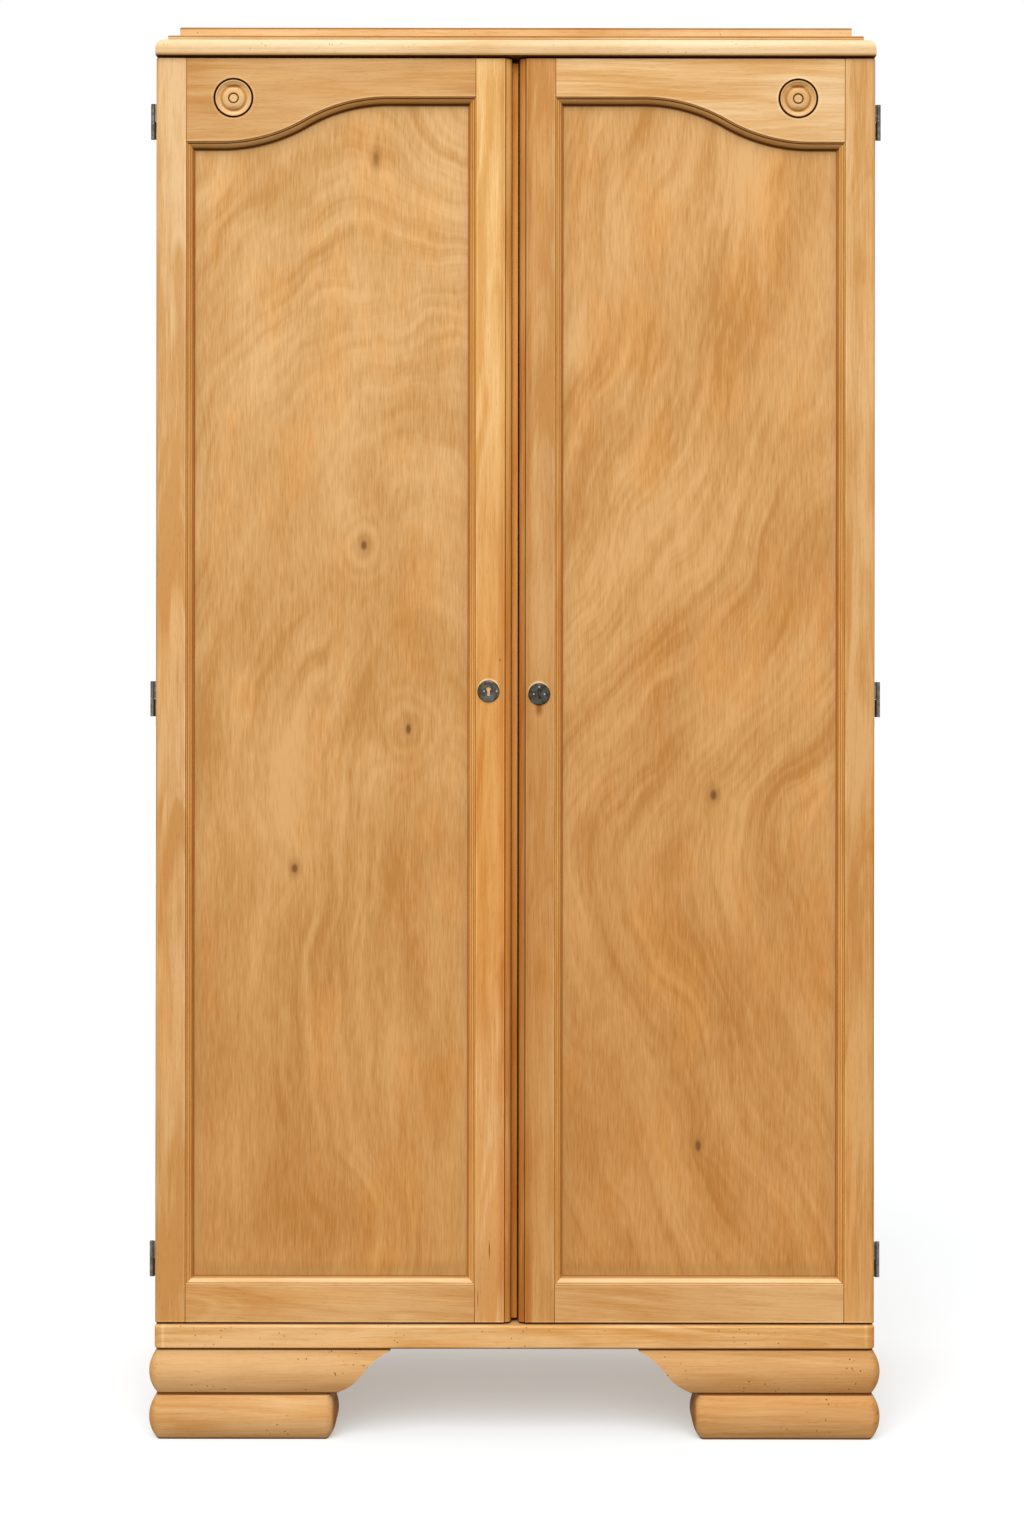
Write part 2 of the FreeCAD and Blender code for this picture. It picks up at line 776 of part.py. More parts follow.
def build_carcass(hinge_cutters):
    """Two sides, housed top and bottom boards, and a back panel in rebates."""
    heights = ("carcass_bottom", "carcass_top")
    housed = ("-inner_half - housing_depth", "-inner_half")
    board_y = ("carcass_front", "board_back")
    bottom_z = ("carcass_bottom", "floor_level")
    top_z = ("ceiling_level", "carcass_top")
    side = cut(
        "side_panel",
        box("side_board", ("-half_width", "-inner_half"), ("carcass_front", "back"), heights),
        box("bottom_housing", housed, board_y, bottom_z),
        box("top_housing", housed, board_y, top_z),
        box("back_rebate", ("-inner_half - rebate_width", "-inner_half"), ("board_back", "back"), heights),
        *hinge_cutters,
    )
    pair("side_panel", side)
    board_x = ("-inner_half - housing_depth", "inner_half + housing_depth")
    for label, board_z in (("bottom_board", bottom_z), ("top_board", top_z)):
        hole_foot = ("-bolt_x", "bolt_y", board_z[0])
        hole = cylinder("bolt_hole", "+z", hole_foot, "bolt_radius + bolt_hole_play", "board_thickness")
        node(label, cut(label, box(label + "_blank", board_x, board_y, board_z), hole))
    back_x = ("-inner_half - rebate_width", "inner_half + rebate_width")
    node("back_panel", box("back_panel", back_x, ("board_back", "back"), heights))


def build_inside():
    """A hat shelf on cleats and a hanging rail in round sockets."""
    shelf_y = ("carcass_front + shelf_setback", "board_back")
    shelf_z = ("shelf_bottom", "shelf_bottom + shelf_thickness")
    node("hat_shelf", box("hat_shelf", ("-inner_half", "inner_half"), shelf_y, shelf_z))
    cleat_z = ("shelf_bottom - cleat_height", "shelf_bottom")
    cleat = box("cleat", ("-inner_half", "-inner_half + cleat_width"), shelf_y, cleat_z)
    node("shelf_cleats", group("shelf_cleats", [cleat, mirror(cleat)]))
    cup = cylinder("socket_cup", "+x", ("-inner_half", "rail_y", "rail_z"), "socket_radius", "socket_length")
    bore_foot = ("-inner_half + socket_base", "rail_y", "rail_z")
    bore = cylinder("socket_bore", "+x", bore_foot, "rail_radius + rail_fit", "socket_length")
    socket = cut("rail_socket", cup, bore)
    node("rail_sockets", group("rail_sockets", [socket, mirror(socket)]))
    rail_foot = ("-rail_end", "rail_y", "rail_z")
    node("hanging_rail", cylinder("hanging_rail", "+x", rail_foot, "rail_radius", "2 * rail_end"))


# Door frames

def hinge_stile():
    """The outer stile, grooved for the panel and rounded at its front corner."""
    stile = body("hinge_stile")
    section = [
        ("-half_width", "door_back"),
        ("-stile_edge", "door_back"),
        ("-stile_edge", "panel_back"),
        ("-stile_edge - groove_depth", "panel_back"),
        ("-stile_edge - groove_depth", "panel_front"),
        ("-stile_edge", "panel_front"),
        ("-stile_edge", "door_front"),
        ("-half_width + stile_round", "door_front", -1, "stile_round"),
        ("-half_width", "door_front + stile_round"),
    ]
    pad(stile, draw(plan_sketch(stile, "door_bottom"), section), "door_height")
    return stile


def meeting_stile():
    """The inner stile, grooved for the panel, with a quirk and a quarter round along its meeting edge."""
    stile = body("meeting_stile")
    quirk_x = "-meeting_edge - edge_width"
    quirk_y = "door_front + edge_quirk_depth"
    section = [
        ("-meeting_inner", "door_back"),
        ("-meeting_edge", "door_back"),
        ("-meeting_edge", f"{quirk_y} + edge_round", -1, "edge_round"),
        ("-meeting_edge - edge_round", quirk_y),
        (quirk_x, quirk_y),
        (quirk_x, "door_front"),
        ("-meeting_inner", "door_front"),
        ("-meeting_inner", "panel_front"),
        ("-meeting_inner + groove_depth", "panel_front"),
        ("-meeting_inner + groove_depth", "panel_back"),
        ("-meeting_inner", "panel_back"),
    ]
    pad(stile, draw(plan_sketch(stile, "door_bottom"), section), "door_height")
    return stile


def rail(name, face, tongue_z, back_z):
    """A rail between the stiles: its face, a tongue that enters the stiles' grooves, and its back."""
    piece = body(name)
    rail_x = ("-stile_edge", "-meeting_inner")
    tongue_x = ("-stile_edge - groove_depth", "-meeting_inner + groove_depth")
    pad(piece, draw(front_sketch(piece, "door_front"), face), "panel_depth", backwards=True)
    tongue = draw(front_sketch(piece, "panel_front"), rectangle(tongue_x, tongue_z))
    pad(piece, tongue, "panel_thickness", backwards=True)
    back = draw(front_sketch(piece, "panel_back"), rectangle(rail_x, back_z))
    pad(piece, back, "door_back - panel_back", backwards=True)
    return piece


def top_rail():
    """The top rail, whose lower edge sweeps up in an S from the hinge side to the meeting side."""
    face = [
        ("-stile_edge", "rail_low"),
        ("-curve_start", "rail_low", 1, "curve_radius"),
        ("-curve_middle", "(rail_low + rail_high) / 2", -1, "curve_radius"),
        ("-curve_end", "rail_high"),
        ("-meeting_inner", "rail_high"),
        ("-meeting_inner", "door_top"),
        ("-stile_edge", "door_top"),
    ]
    piece = rail("top_rail", face, ("rail_high + groove_depth", "door_top"), ("rail_high", "door_top"))
    seat_foot = ("-rosette_x", "door_front", "rosette_z")
    seat = cylinder("rosette_seat", "+y", seat_foot, "rosette_radius + rosette_margin", "rosette_depth")
    return cut("top_rail", piece, seat)


def bottom_rail():
    """The bottom rail, grooved along its top for the panel."""
    heights = ("door_bottom", "opening_bottom")
    face = rectangle(("-stile_edge", "-meeting_inner"), heights)
    return rail("bottom_rail", face, ("door_bottom", "opening_bottom - groove_depth"), heights)


def panel():
    """The plywood panel, a little short of the bottoms of its grooves."""
    reach = "groove_depth - panel_play"
    panel_x = (f"-stile_edge - ({reach})", f"-meeting_inner + {reach}")
    panel_z = (f"opening_bottom - ({reach})", f"rail_high + {reach}")
    return box("panel", panel_x, ("panel_front", "panel_back"), panel_z)


# Beads round the panels

def bead_section(start, way, upright):
    """The bead's outline, laid across from the frame's edge. Upright beads are drawn in plan."""
    quirk_y = "door_front + bead_drop + bead_quirk"
    foot_y = "panel_front - bead_foot"
    turn = 1 if (way == "+") == upright else -1
    points = [
        ("0", "panel_front"),
        ("0", "door_front + bead_drop"),
        ("bead_fillet", "door_front + bead_drop"),
        ("bead_fillet", quirk_y, turn, "bead_round"),
        ("bead_fillet + bead_round", quirk_y + " + bead_round"),
        ("bead_fillet + bead_round", foot_y),
        ("bead_width", foot_y),
        ("bead_width", "panel_front"),
    ]
    outline = []
    for across, depth, *arc in points:
        place = f"{start} {way} ({across})"
        outline.append(((place, depth) if upright else (depth, place)) + tuple(arc))
    return outline


def mitre(bead, x, x_way, z, z_way, upright):
    """Cut one end of a bead to its mitre, at a corner of the frame's opening."""
    far_x = f"{x} {x_way} bead_width"
    far_z = f"{z} {z_way} bead_width"
    waste = [(x, z), (far_x, z) if upright else (x, far_z), (far_x, far_z)]
    pocket(bead, draw(front_sketch(bead, "door_front"), waste), "panel_depth")


def side_bead(x, x_way, top):
    """An upright bead from the bottom rail to a top level."""
    bead = body("side_bead")
    section = draw(plan_sketch(bead, "opening_bottom"), bead_section(x, x_way, True))
    pad(bead, section, f"{top} - opening_bottom")
    mitre(bead, x, x_way, "opening_bottom", "+", True)
    mitre(bead, x, x_way, top, "-", True)
    return bead


def bottom_bead():
    """The bead along the bottom rail."""
    bead = body("bottom_bead")
    section = draw(side_sketch(bead, "-stile_edge"), bead_section("opening_bottom", "+", False))
    pad(bead, section, "stile_edge - meeting_inner")
    mitre(bead, "-stile_edge", "+", "opening_bottom", "+", False)
    mitre(bead, "-meeting_inner", "-", "opening_bottom", "+", False)
    return bead


def top_bead():
    """The bead that follows the S-curve of the top rail."""
    bead = body("top_bead")
    path = [
        ("-stile_edge", "rail_low"),
        ("-curve_start", "rail_low", 1, "curve_radius"),
        ("-curve_middle", "(rail_low + rail_high) / 2", -1, "curve_radius"),
        ("-curve_end", "rail_high"),
        ("-meeting_inner", "rail_high"),
    ]
    section = draw(side_sketch(bead, "-stile_edge"), bead_section("rail_low", "-", False))
    sweep(bead, section, draw(front_sketch(bead, "door_front"), path, closed=False))
    mitre(bead, "-stile_edge", "+", "rail_low", "-", False)
    mitre(bead, "-meeting_inner", "-", "rail_high", "-", False)
    return bead


def build_door_frames(hinge_cutters):
    """Frames, panels and beads of both doors. Returns the left meeting stile, which is cut later."""
    pair("hinge_stile", cut("hinge_stile", hinge_stile(), *hinge_cutters))
    pair("top_rail", top_rail())
    pair("bottom_rail", bottom_rail())
    pair("panel", panel())
    side_beads = [side_bead("-stile_edge", "+", "rail_low"), side_bead("-meeting_inner", "-", "rail_high")]
    pair("side_beads", group("side_beads", side_beads))
    pair("top_bead", top_bead())
    pair("bottom_bead", bottom_bead())
    return meeting_stile()


# Rosettes and escutcheons

def rosette():
    """A turned disc: rim, dished ring, dome, groove and button."""
    groove_y = "door_front + rosette_groove_depth"
    section = [
        ("door_front + rosette_depth", "0"),
        ("door_front + rosette_depth", "rosette_radius"),
        ("door_front", "rosette_radius"),
        ("door_front", "rosette_radius - rosette_rim", -1, "rosette_dish_curve"),
        ("door_front + rosette_dish_depth", "rosette_dish_radius", 1, "rosette_dome_curve"),
        ("door_front + rosette_dome_depth", "rosette_dome_radius"),
        (groove_y, "rosette_dome_radius"),
        (groove_y, "rosette_button_radius"),
        ("door_front + rosette_dome_depth", "rosette_button_radius"),
        ("door_front + rosette_dome_depth", "0"),
    ]
    return turned("rosette", "-rosette_x", "rosette_z", section)


def keyhole(x, z, y_span, margin):
    """A keyhole-shaped plug, used to cut with."""
    plug = body("keyhole")
    radius = f"keyhole_radius + {margin}"
    half_slot = f"keyhole_slot / 2 + {margin}"
    centre = f"{z} + keyhole_rise"
    shoulder = f"{centre} - sqrt(({radius}) ^ 2 - ({half_slot}) ^ 2)"
    bottom = f"{z} - keyhole_drop - {margin}"
    outline = [
        (f"{x} - ({half_slot})", bottom),
        (f"{x} + {half_slot}", bottom),
        (f"{x} + {half_slot}", shoulder, 1, radius),
        (x, f"{centre} + {radius}", 1, radius),
        (f"{x} - ({half_slot})", shoulder),
    ]
    sketch = draw(front_sketch(plug, y_span[0]), outline)
    pad(plug, sketch, f"({y_span[1]}) - ({y_span[0]})", backwards=True)
    return plug


def tack(x, z):
    """A round-headed tack through an escutcheon, and the hole that it needs."""
    head_foot = (x, "plate_front - tack_head_height", z)
    head = cone("tack_head", "+y", head_foot, "tack_head_radius / 2", "tack_head_radius", "tack_head_height")
    shank = cylinder("tack_shank", "+y", (x, "plate_front", z), "tack_radius", "tack_length")
    hole = cylinder("tack_hole", "+y", (x, "plate_front", z), "tack_radius + screw_clearance", "tack_length")
    return fuse("tack", head, shank), hole


def escutcheon(side, x, z, tack_places):
    """A round plate with a keyhole, held by tacks. Returns the cutters of the tack holes."""
    section = [
        ("door_front", "0"),
        ("door_front", "escutcheon_radius"),
        ("plate_front + escutcheon_round", "escutcheon_radius", 1, "escutcheon_round"),
        ("plate_front", "escutcheon_radius - escutcheon_round"),
        ("plate_front", "0"),
    ]
    plate = turned("escutcheon", x, z, section)
    tacks, holes = zip(*[tack(*place) for place in tack_places])
    opening = keyhole(x, z, ("plate_front", "door_front"), "0")
    node(side + "_escutcheon", cut("escutcheon", plate, opening, *holes))
    node(side + "_escutcheon_tacks", group("escutcheon_tacks", tacks))
    return holes


def build_ornaments():
    """Rosettes and escutcheons. Returns the tack holes of the left and of the right meeting stile."""
    pair("rosette", rosette())
    left_tacks = [
        ("left_plate_x - tack_near", "left_plate_z"),
        ("left_plate_x + tack_far", "left_plate_z"),
    ]
    right_tacks = [
        ("right_plate_x - tack_side", "right_plate_z"),
        ("right_plate_x + tack_side", "right_plate_z"),
        ("right_plate_x", "right_plate_z + tack_top"),
    ]
    left_holes = escutcheon("left", "left_plate_x", "left_plate_z", left_tacks)
    right_holes = escutcheon("right", "right_plate_x", "right_plate_z", right_tacks)
    return left_holes, right_holes


# Bolts of the left door

def slide_bolt():
    """A round bolt with a knob to push it by."""
    rod_foot = ("-bolt_x", "bolt_y", "bolt_tip - bolt_length")
    rod = cylinder("bolt_rod", "+z", rod_foot, "bolt_radius", "bolt_length")
    knob_foot = ("-bolt_x", "bolt_y", "knob_level")
    knob = cylinder("bolt_knob", "+y", knob_foot, "bolt_knob_radius", "bolt_radius + bolt_knob_reach")
    return fuse("slide_bolt", rod, knob)


def bolt_guide():
    """The plate and two staples that a bolt slides in, with its screws and the holes that they need."""
    face = "door_back + guide_plate_thickness"
    plate_x = ("-bolt_x - guide_plate_width / 2", "-bolt_x + guide_plate_width / 2")
    staple_x = ("-bolt_x - guide_width / 2", "-bolt_x + guide_width / 2")
    staple_y = ("door_back", "bolt_y + bolt_radius + guide_wall")
    lower_z = ("guide_bottom", "guide_bottom + guide_height")
    upper_z = ("guide_top - guide_height", "guide_top")
    solid = fuse(
        "guide",
        box("guide_plate", plate_x, ("door_back", face), (lower_z[0], upper_z[1])),
        box("lower_staple", staple_x, staple_y, lower_z),
        box("upper_staple", staple_x, staple_y, upper_z),
    )
    bore_foot = ("-bolt_x", "bolt_y", "guide_bottom")
    bore = cylinder("guide_bore", "+z", bore_foot, "bolt_radius + bolt_fit", "guide_top - guide_bottom")
    screws = []
    holes = []
    for level in ("guide_bottom + guide_height / 2", "guide_top - guide_height / 2"):
        for way in "+-":
            driven, hole = screw(f"-bolt_x {way} guide_screw_offset", "-y", face, level)
            screws.append(driven)
            holes.append(hole)
    return cut("bolt_guide", solid, bore, *holes), screws, holes


def build_bolts():
    """Bolts at the top and bottom of the left door. Returns their screws and screw holes."""
    upper_bolt = slide_bolt()
    upper_guide, screws, holes = bolt_guide()
    node("left_top_bolt", upper_bolt)
    node("left_bottom_bolt", turn_over(upper_bolt))
    node("bolt_guides", group("bolt_guides", [upper_guide, turn_over(upper_guide)]))
    return screws + [turn_over(item) for item in screws], holes + [turn_over(item) for item in holes]


# Lock of the right door and the closing strip

def build_lock():
    """A lock cut into the right stile, and its bolt. Returns the cutters of its seat and keyway."""
    case_x = ("meeting_edge", "meeting_edge + lock_width")
    case_y = ("lock_front", "door_back")
    case_z = ("lock_z - lock_height / 2", "lock_z + lock_height / 2")
    case = box("lock_block", case_x, case_y, case_z)

    def bolt_box(name, x_span, play):
        half_y = f"(lock_bolt_thickness / 2 + {play})"
        half_z = f"(lock_bolt_height / 2 + {play})"
        y_span = (f"lock_bolt_y - {half_y}", f"lock_bolt_y + {half_y}")
        return box(name, x_span, y_span, (f"lock_z - {half_z}", f"lock_z + {half_z}"))

    slot = bolt_box("lock_slot", ("meeting_edge", "lock_bolt_tail + lock_bolt_fit"), "lock_bolt_fit")
    well_foot = ("right_plate_x", "lock_front", "lock_z")
    well = cylinder("key_well", "+y", well_foot, "key_well_radius", "lock_depth - lock_wall")
    pin_foot = ("right_plate_x", "door_front + drill_pin_setback", "lock_z")
    pin_length = "door_back - door_front - drill_pin_setback"
    pin = cylinder("drill_pin", "+y", pin_foot, "drill_pin_radius", pin_length)
    node("lock_case", fuse("lock_case", cut("lock_case", case, slot, well), pin))
    node("lock_bolt", bolt_box("lock_bolt", ("lock_bolt_front", "lock_bolt_tail"), "0"))
    strip_x = ("-meeting_edge", "meeting_edge - strip_clearance")
    strip_z = ("door_bottom + strip_end_gap", "door_top - strip_end_gap")
    strip = box("strip", strip_x, ("strip_front", "door_back"), strip_z)
    mortise = bolt_box("lock_mortise", strip_x, "lock_mortise_play")
    node("closing_strip", cut("closing_strip", strip, mortise))
    keyway = keyhole("right_plate_x", "right_plate_z", ("door_front", "lock_front"), "keyway_margin")
    return case, keyway


def build_doors(hinge_screws, hinge_cutters):
    """Both doors with their fittings."""
    stile = build_door_frames(hinge_cutters)
    left_holes, right_holes = build_ornaments()
    guide_screws, guide_holes = build_bolts()
    lock_cutters = build_lock()
    node("left_meeting_stile", cut("left_meeting_stile", stile, *left_holes, *guide_holes))
    node("right_meeting_stile", cut("right_meeting_stile", mirror(stile), *right_holes, *lock_cutters))
    node("left_door_screws", group("left_door_screws", hinge_screws + guide_screws))
    node("right_door_screws", mirror(group("right_door_screws", hinge_screws)))


def check_and_write():
    """Stop if anything failed, then write each piece to a file of its name."""
    doc.recompute()
    for item in doc.Objects:
        if "Invalid" in item.State or "Error" in item.State:
            raise RuntimeError(f"{item.Name} failed: {item.State}")
    for piece in nodes:
        if piece.Shape.isNull() or not piece.Shape.isValid():
            raise RuntimeError(piece.Label + " has no sound shape")
    os.makedirs("parts", exist_ok=True)
    for piece in nodes:
        piece.Shape.exportStep(f"parts/{piece.Label}.step")
        print(piece.Label, len(piece.Shape.Solids), "solids")


build_feet()
build_plinth()
build_cornice()
door_hinge_screws, side_cutters, stile_cutters = build_hinges()
build_carcass(side_cutters)
build_inside()
build_doors(door_hinge_screws, stile_cutters)
check_and_write()
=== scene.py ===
"""A two-door wardrobe in stripped wood: finishes, eased edges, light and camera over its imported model."""
import logging
import math
from collections.abc import Callable, Iterable
from dataclasses import dataclass
from enum import Enum
from functools import cached_property, partialmethod, reduce

import bmesh
import bpy
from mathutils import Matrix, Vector


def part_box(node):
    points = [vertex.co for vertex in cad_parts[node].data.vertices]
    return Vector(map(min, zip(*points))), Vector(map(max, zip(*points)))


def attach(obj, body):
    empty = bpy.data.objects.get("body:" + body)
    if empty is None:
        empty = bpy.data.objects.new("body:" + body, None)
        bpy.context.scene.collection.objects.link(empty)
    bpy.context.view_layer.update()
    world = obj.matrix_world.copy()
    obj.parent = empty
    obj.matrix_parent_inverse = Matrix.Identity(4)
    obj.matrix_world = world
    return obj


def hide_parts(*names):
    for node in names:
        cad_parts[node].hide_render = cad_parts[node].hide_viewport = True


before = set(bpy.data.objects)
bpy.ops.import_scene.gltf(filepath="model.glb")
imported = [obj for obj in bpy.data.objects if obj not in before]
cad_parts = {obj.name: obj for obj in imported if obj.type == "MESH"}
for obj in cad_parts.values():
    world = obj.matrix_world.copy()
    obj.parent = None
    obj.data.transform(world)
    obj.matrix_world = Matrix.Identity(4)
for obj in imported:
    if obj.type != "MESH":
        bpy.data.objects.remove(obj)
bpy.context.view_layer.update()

LOG = logging.getLogger("wardrobe")

Pair = tuple[float, float]
Triple = tuple[float, float, float]
Colour = tuple[float, float, float, float]
Node = bpy.types.Node
Socket = bpy.types.NodeSocket
Piece = bpy.types.Object
Value = Socket | float | Triple | Colour
Inputs = dict[str | int, Value]
EdgePick = Callable[[bmesh.types.BMEdge], bool]

# Sizes of the doors, in metres, shared by the frame, the panels and their dirt and painted shade.
DOOR_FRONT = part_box("left_hinge_stile")[0][1]
FACE_END = DOOR_FRONT + 0.010
PANEL_MIDDLE = (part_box("left_panel")[0][1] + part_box("left_panel")[1][1]) / 2
DOOR_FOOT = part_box("left_hinge_stile")[0][2]
DOOR_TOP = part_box("left_hinge_stile")[1][2]
MEETING_EDGE = -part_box("left_meeting_stile")[1][0]
EDGE_QUIRK = MEETING_EDGE + 0.0083
OPENING_OUTER = -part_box("left_top_bead")[0][0]
OPENING_INNER = -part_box("left_top_bead")[1][0]
OPENING_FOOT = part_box("left_bottom_bead")[0][2]
OPENING_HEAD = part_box("left_top_bead")[1][2]
BEAD_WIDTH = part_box("left_bottom_bead")[1][2] - OPENING_FOOT
SHOULDER_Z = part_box("left_top_rail")[0][2]
CURVE_OUTER = OPENING_OUTER - 0.043
CURVE_RUN = 0.213
CURVE_RISE = OPENING_HEAD - SHOULDER_Z
CURVE_INNER = CURVE_OUTER - CURVE_RUN
CURVE_MIDDLE = CURVE_OUTER - CURVE_RUN / 2
CURVE_RADIUS = (CURVE_RUN ** 2 + CURVE_RISE ** 2) / (4 * CURVE_RISE)

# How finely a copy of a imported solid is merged, and what counts as flat or sharp.
MERGE = 1e-5
FLAT = math.radians(0.4)
SHARP = math.radians(30)
SMOOTH = math.radians(40)

# The specular level of bare wood, which hardly shines, and of steel.
WOOD_SHEEN = 0.04
STEEL_SHEEN = 0.5

# The depth of one unit of relief in each finish, in metres.
WOOD_RELIEF = 0.00012
VENEER_RELIEF = 0.00008
STEEL_RELIEF = 0.00005


def srgb(*levels: int) -> Colour:
    """A colour as a screen shows it, in levels from 0 to 255, turned into linear light."""
    shares = [level / 255 for level in levels]
    return (
        *(share / 12.92 if share <= 0.04045 else ((share + 0.055) / 1.055) ** 2.4 for share in shares), 1.0
    )


def scaled(colour: Colour, factors: Triple) -> Colour:
    """A linear colour with each channel multiplied."""
    return (*(level * factor for level, factor in zip(colour, factors)), 1.0)


def disc(node: str) -> Triple:
    """A round piece's distance from the wardrobe's middle, its height and its radius."""
    low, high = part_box(node)
    return (abs(low[0] + high[0]) / 2, (low[2] + high[2]) / 2, (high[2] - low[2]) / 2)


def show(thing: Piece) -> Piece:
    """Put a new object in the scene, and give it back."""
    bpy.context.scene.collection.objects.link(thing)
    return thing


ROSETTE_X, ROSETTE_Z, ROSETTE_RADIUS = disc("left_rosette")


class Graph:
    """A node tree that is being wired, with a short method for each kind of node."""

    def __init__(self, tree: bpy.types.NodeTree) -> None:
        """Keep the tree that the methods add to."""
        self.tree = tree

    def feed(self, node: Node, values: Inputs) -> None:
        """Link or set some inputs of a node.

        Args:
            node: The node.
            values: A socket or a plain value for each input, by name or number.
        """
        for name, value in values.items():
            if isinstance(value, bpy.types.NodeSocket):
                self.tree.links.new(value, node.inputs[name])
            else:
                node.inputs[name].default_value = value

    def add(self, kind: str, values: Inputs | None = None, **settings: object) -> Node:
        """Add a shader node, set its options and feed its inputs.

        Args:
            kind: The node's type, without the words that every such type starts with.
            values: What its inputs are fed.
            settings: Options of the node by name.

        Returns:
            The new node.
        """
        node = self.tree.nodes.new(f"ShaderNode{kind}")
        for name, value in settings.items():
            setattr(node, name, value)
        self.feed(node, values or {})
        return node

    def math(self, operation: str, *values: Value, clamp: bool = False) -> Socket:
        """The result of a Math node, which can be kept between 0 and 1."""
        return self.add("Math", dict(enumerate(values)), operation=operation, use_clamp=clamp).outputs[0]

    def chain(self, operation: str, *values: Value) -> Value:
        """One operation carried through several sockets or numbers."""
        return reduce(lambda first, second: self.math(operation, first, second), values)

    total = partialmethod(chain, "ADD")
    minus = partialmethod(chain, "SUBTRACT")
    times = partialmethod(chain, "MULTIPLY")
    most = partialmethod(chain, "MAXIMUM")
    least = partialmethod(chain, "MINIMUM")

    def length(self, first: Value, second: Value) -> Socket:
        """The long side of a right triangle with two short sides."""
        return self.math("SQRT", self.math("MULTIPLY_ADD", first, first, self.times(second, second)))

    def ellipse(self, place: tuple[Socket, Socket], centre: Pair, radii: Pair) -> Socket:
        """The distance of a place from a centre, measured in the radii of an ellipse."""
        ways = zip(place, centre, radii)
        return self.length(*(self.math("DIVIDE", self.minus(way, zero), unit) for way, zero, unit in ways))

    def bell(self, near: Socket) -> Socket:
        """A smooth swell that is 1 where a distance is 0 and small where it is 2."""
        return self.math("EXPONENT", self.times(near, near, -0.5))

    def centred(self, value: Socket, gain: float) -> Socket:
        """A value between 0 and 1, moved to lie about 0 and multiplied."""
        return self.times(self.minus(value, 0.5), gain)

    def spread(self, value: Value, low: float, high: float, start: float = 0.0, end: float = 1.0) -> Socket:
        """A smooth step of a value from a low level to a high one, which leads from a start to an end."""
        limits = {"Value": value, "From Min": low, "From Max": high, "To Min": start, "To Max": end}
        return self.add("MapRange", limits, interpolation_type="SMOOTHSTEP").outputs["Result"]

    def split(self, vector: Socket) -> tuple[Socket, ...]:
        """The three coordinates of a vector."""
        return tuple(self.add("SeparateXYZ", {0: vector}).outputs)

    def cloud(self, vector: Socket, dimensions: str, detail: float) -> Socket:
        """Cloudy noise between 0 and 1, with a cloud for each unit of a vector, and finer layers."""
        values = {"Vector": vector, "Scale": 1.0, "Detail": detail}
        return self.add("TexNoise", values, noise_dimensions=dimensions).outputs[0]

    def noise(self, vector: Socket, per_metre: Triple, detail: float = 2.0) -> Socket:
        """Cloudy noise with a number of clouds per metre along each axis."""
        stretched = self.add("VectorMath", {0: vector, 1: per_metre}, operation="MULTIPLY")
        return self.cloud(stretched.outputs[0], "3D", detail)

    def stripes(self, place: Socket, count: Value, along: Socket, change: float, detail: float) -> Socket:
        """Uneven stripes, so many in a metre of a place, that change so often along another measure."""
        joined = self.add("CombineXYZ", {0: self.times(place, count), 1: self.times(along, change)})
        return self.cloud(joined.outputs[0], "2D", detail)

    def mix(self, share: Value, first: Value, second: Value, blend: str = "MIX") -> Socket:
        """Two colours mixed, with a share of the second one."""
        inputs = {0: share, 6: first, 7: second}
        return self.add("Mix", inputs, data_type="RGBA", blend_type=blend).outputs[2]

    def tinted(self, share: Value, colour: Value, factors: Triple) -> Socket:
        """A colour of which a share is multiplied by factors."""
        return self.mix(share, colour, (*factors, 1.0), "MULTIPLY")

    def group(self, effect: "Effect", **values: Value) -> Node:
        """Place a node group and feed its inputs, named with underscores for spaces."""
        inputs = {name.replace("_", " "): value for name, value in values.items()}
        return self.add("Group", inputs, node_tree=effect.tree)


# The sockets of node groups that aren't plain numbers.
COLOUR_SOCKETS = ("Pale", "Dark", "Steel", "Tarnish", "Color")
SOCKET_KINDS = {"Position": "Vector", **dict.fromkeys(COLOUR_SOCKETS, "Color")}

# What amber streaks, pores and golden clouds multiply the colour of wood by.
AMBER_STREAK = (1.02, 0.92, 0.74)
PORE = srgb(196, 164, 126)[:3]
GOLD_CLOUD = (1.06, 0.94, 0.74)


class Effect(Graph):
    """An effect that several materials share, as a shader node group that is being wired."""

    def __init__(self, name: str, *inputs: str) -> None:
        """Start a group.

        Args:
            name: The group's name.
            inputs: The names of its inputs.
        """
        super().__init__(bpy.data.node_groups.new(name, "ShaderNodeTree"))
        self.declare("INPUT", inputs)
        self.given = tuple(self.tree.nodes.new("NodeGroupInput").outputs)[:len(inputs)]

    def declare(self, way: str, names: Iterable[str]) -> None:
        """Give the group named sockets.

        Args:
            way: Whether they are inputs or outputs.
            names: The sockets' names.
        """
        for name in names:
            kind = SOCKET_KINDS.get(name, "Float")
            self.tree.interface.new_socket(name, in_out=way, socket_type=f"NodeSocket{kind}")

    def close(self, **values: Socket) -> None:
        """Give the group its outputs, and wire them."""
        self.declare("OUTPUT", values)
        self.feed(self.tree.nodes.new("NodeGroupOutput"), values)


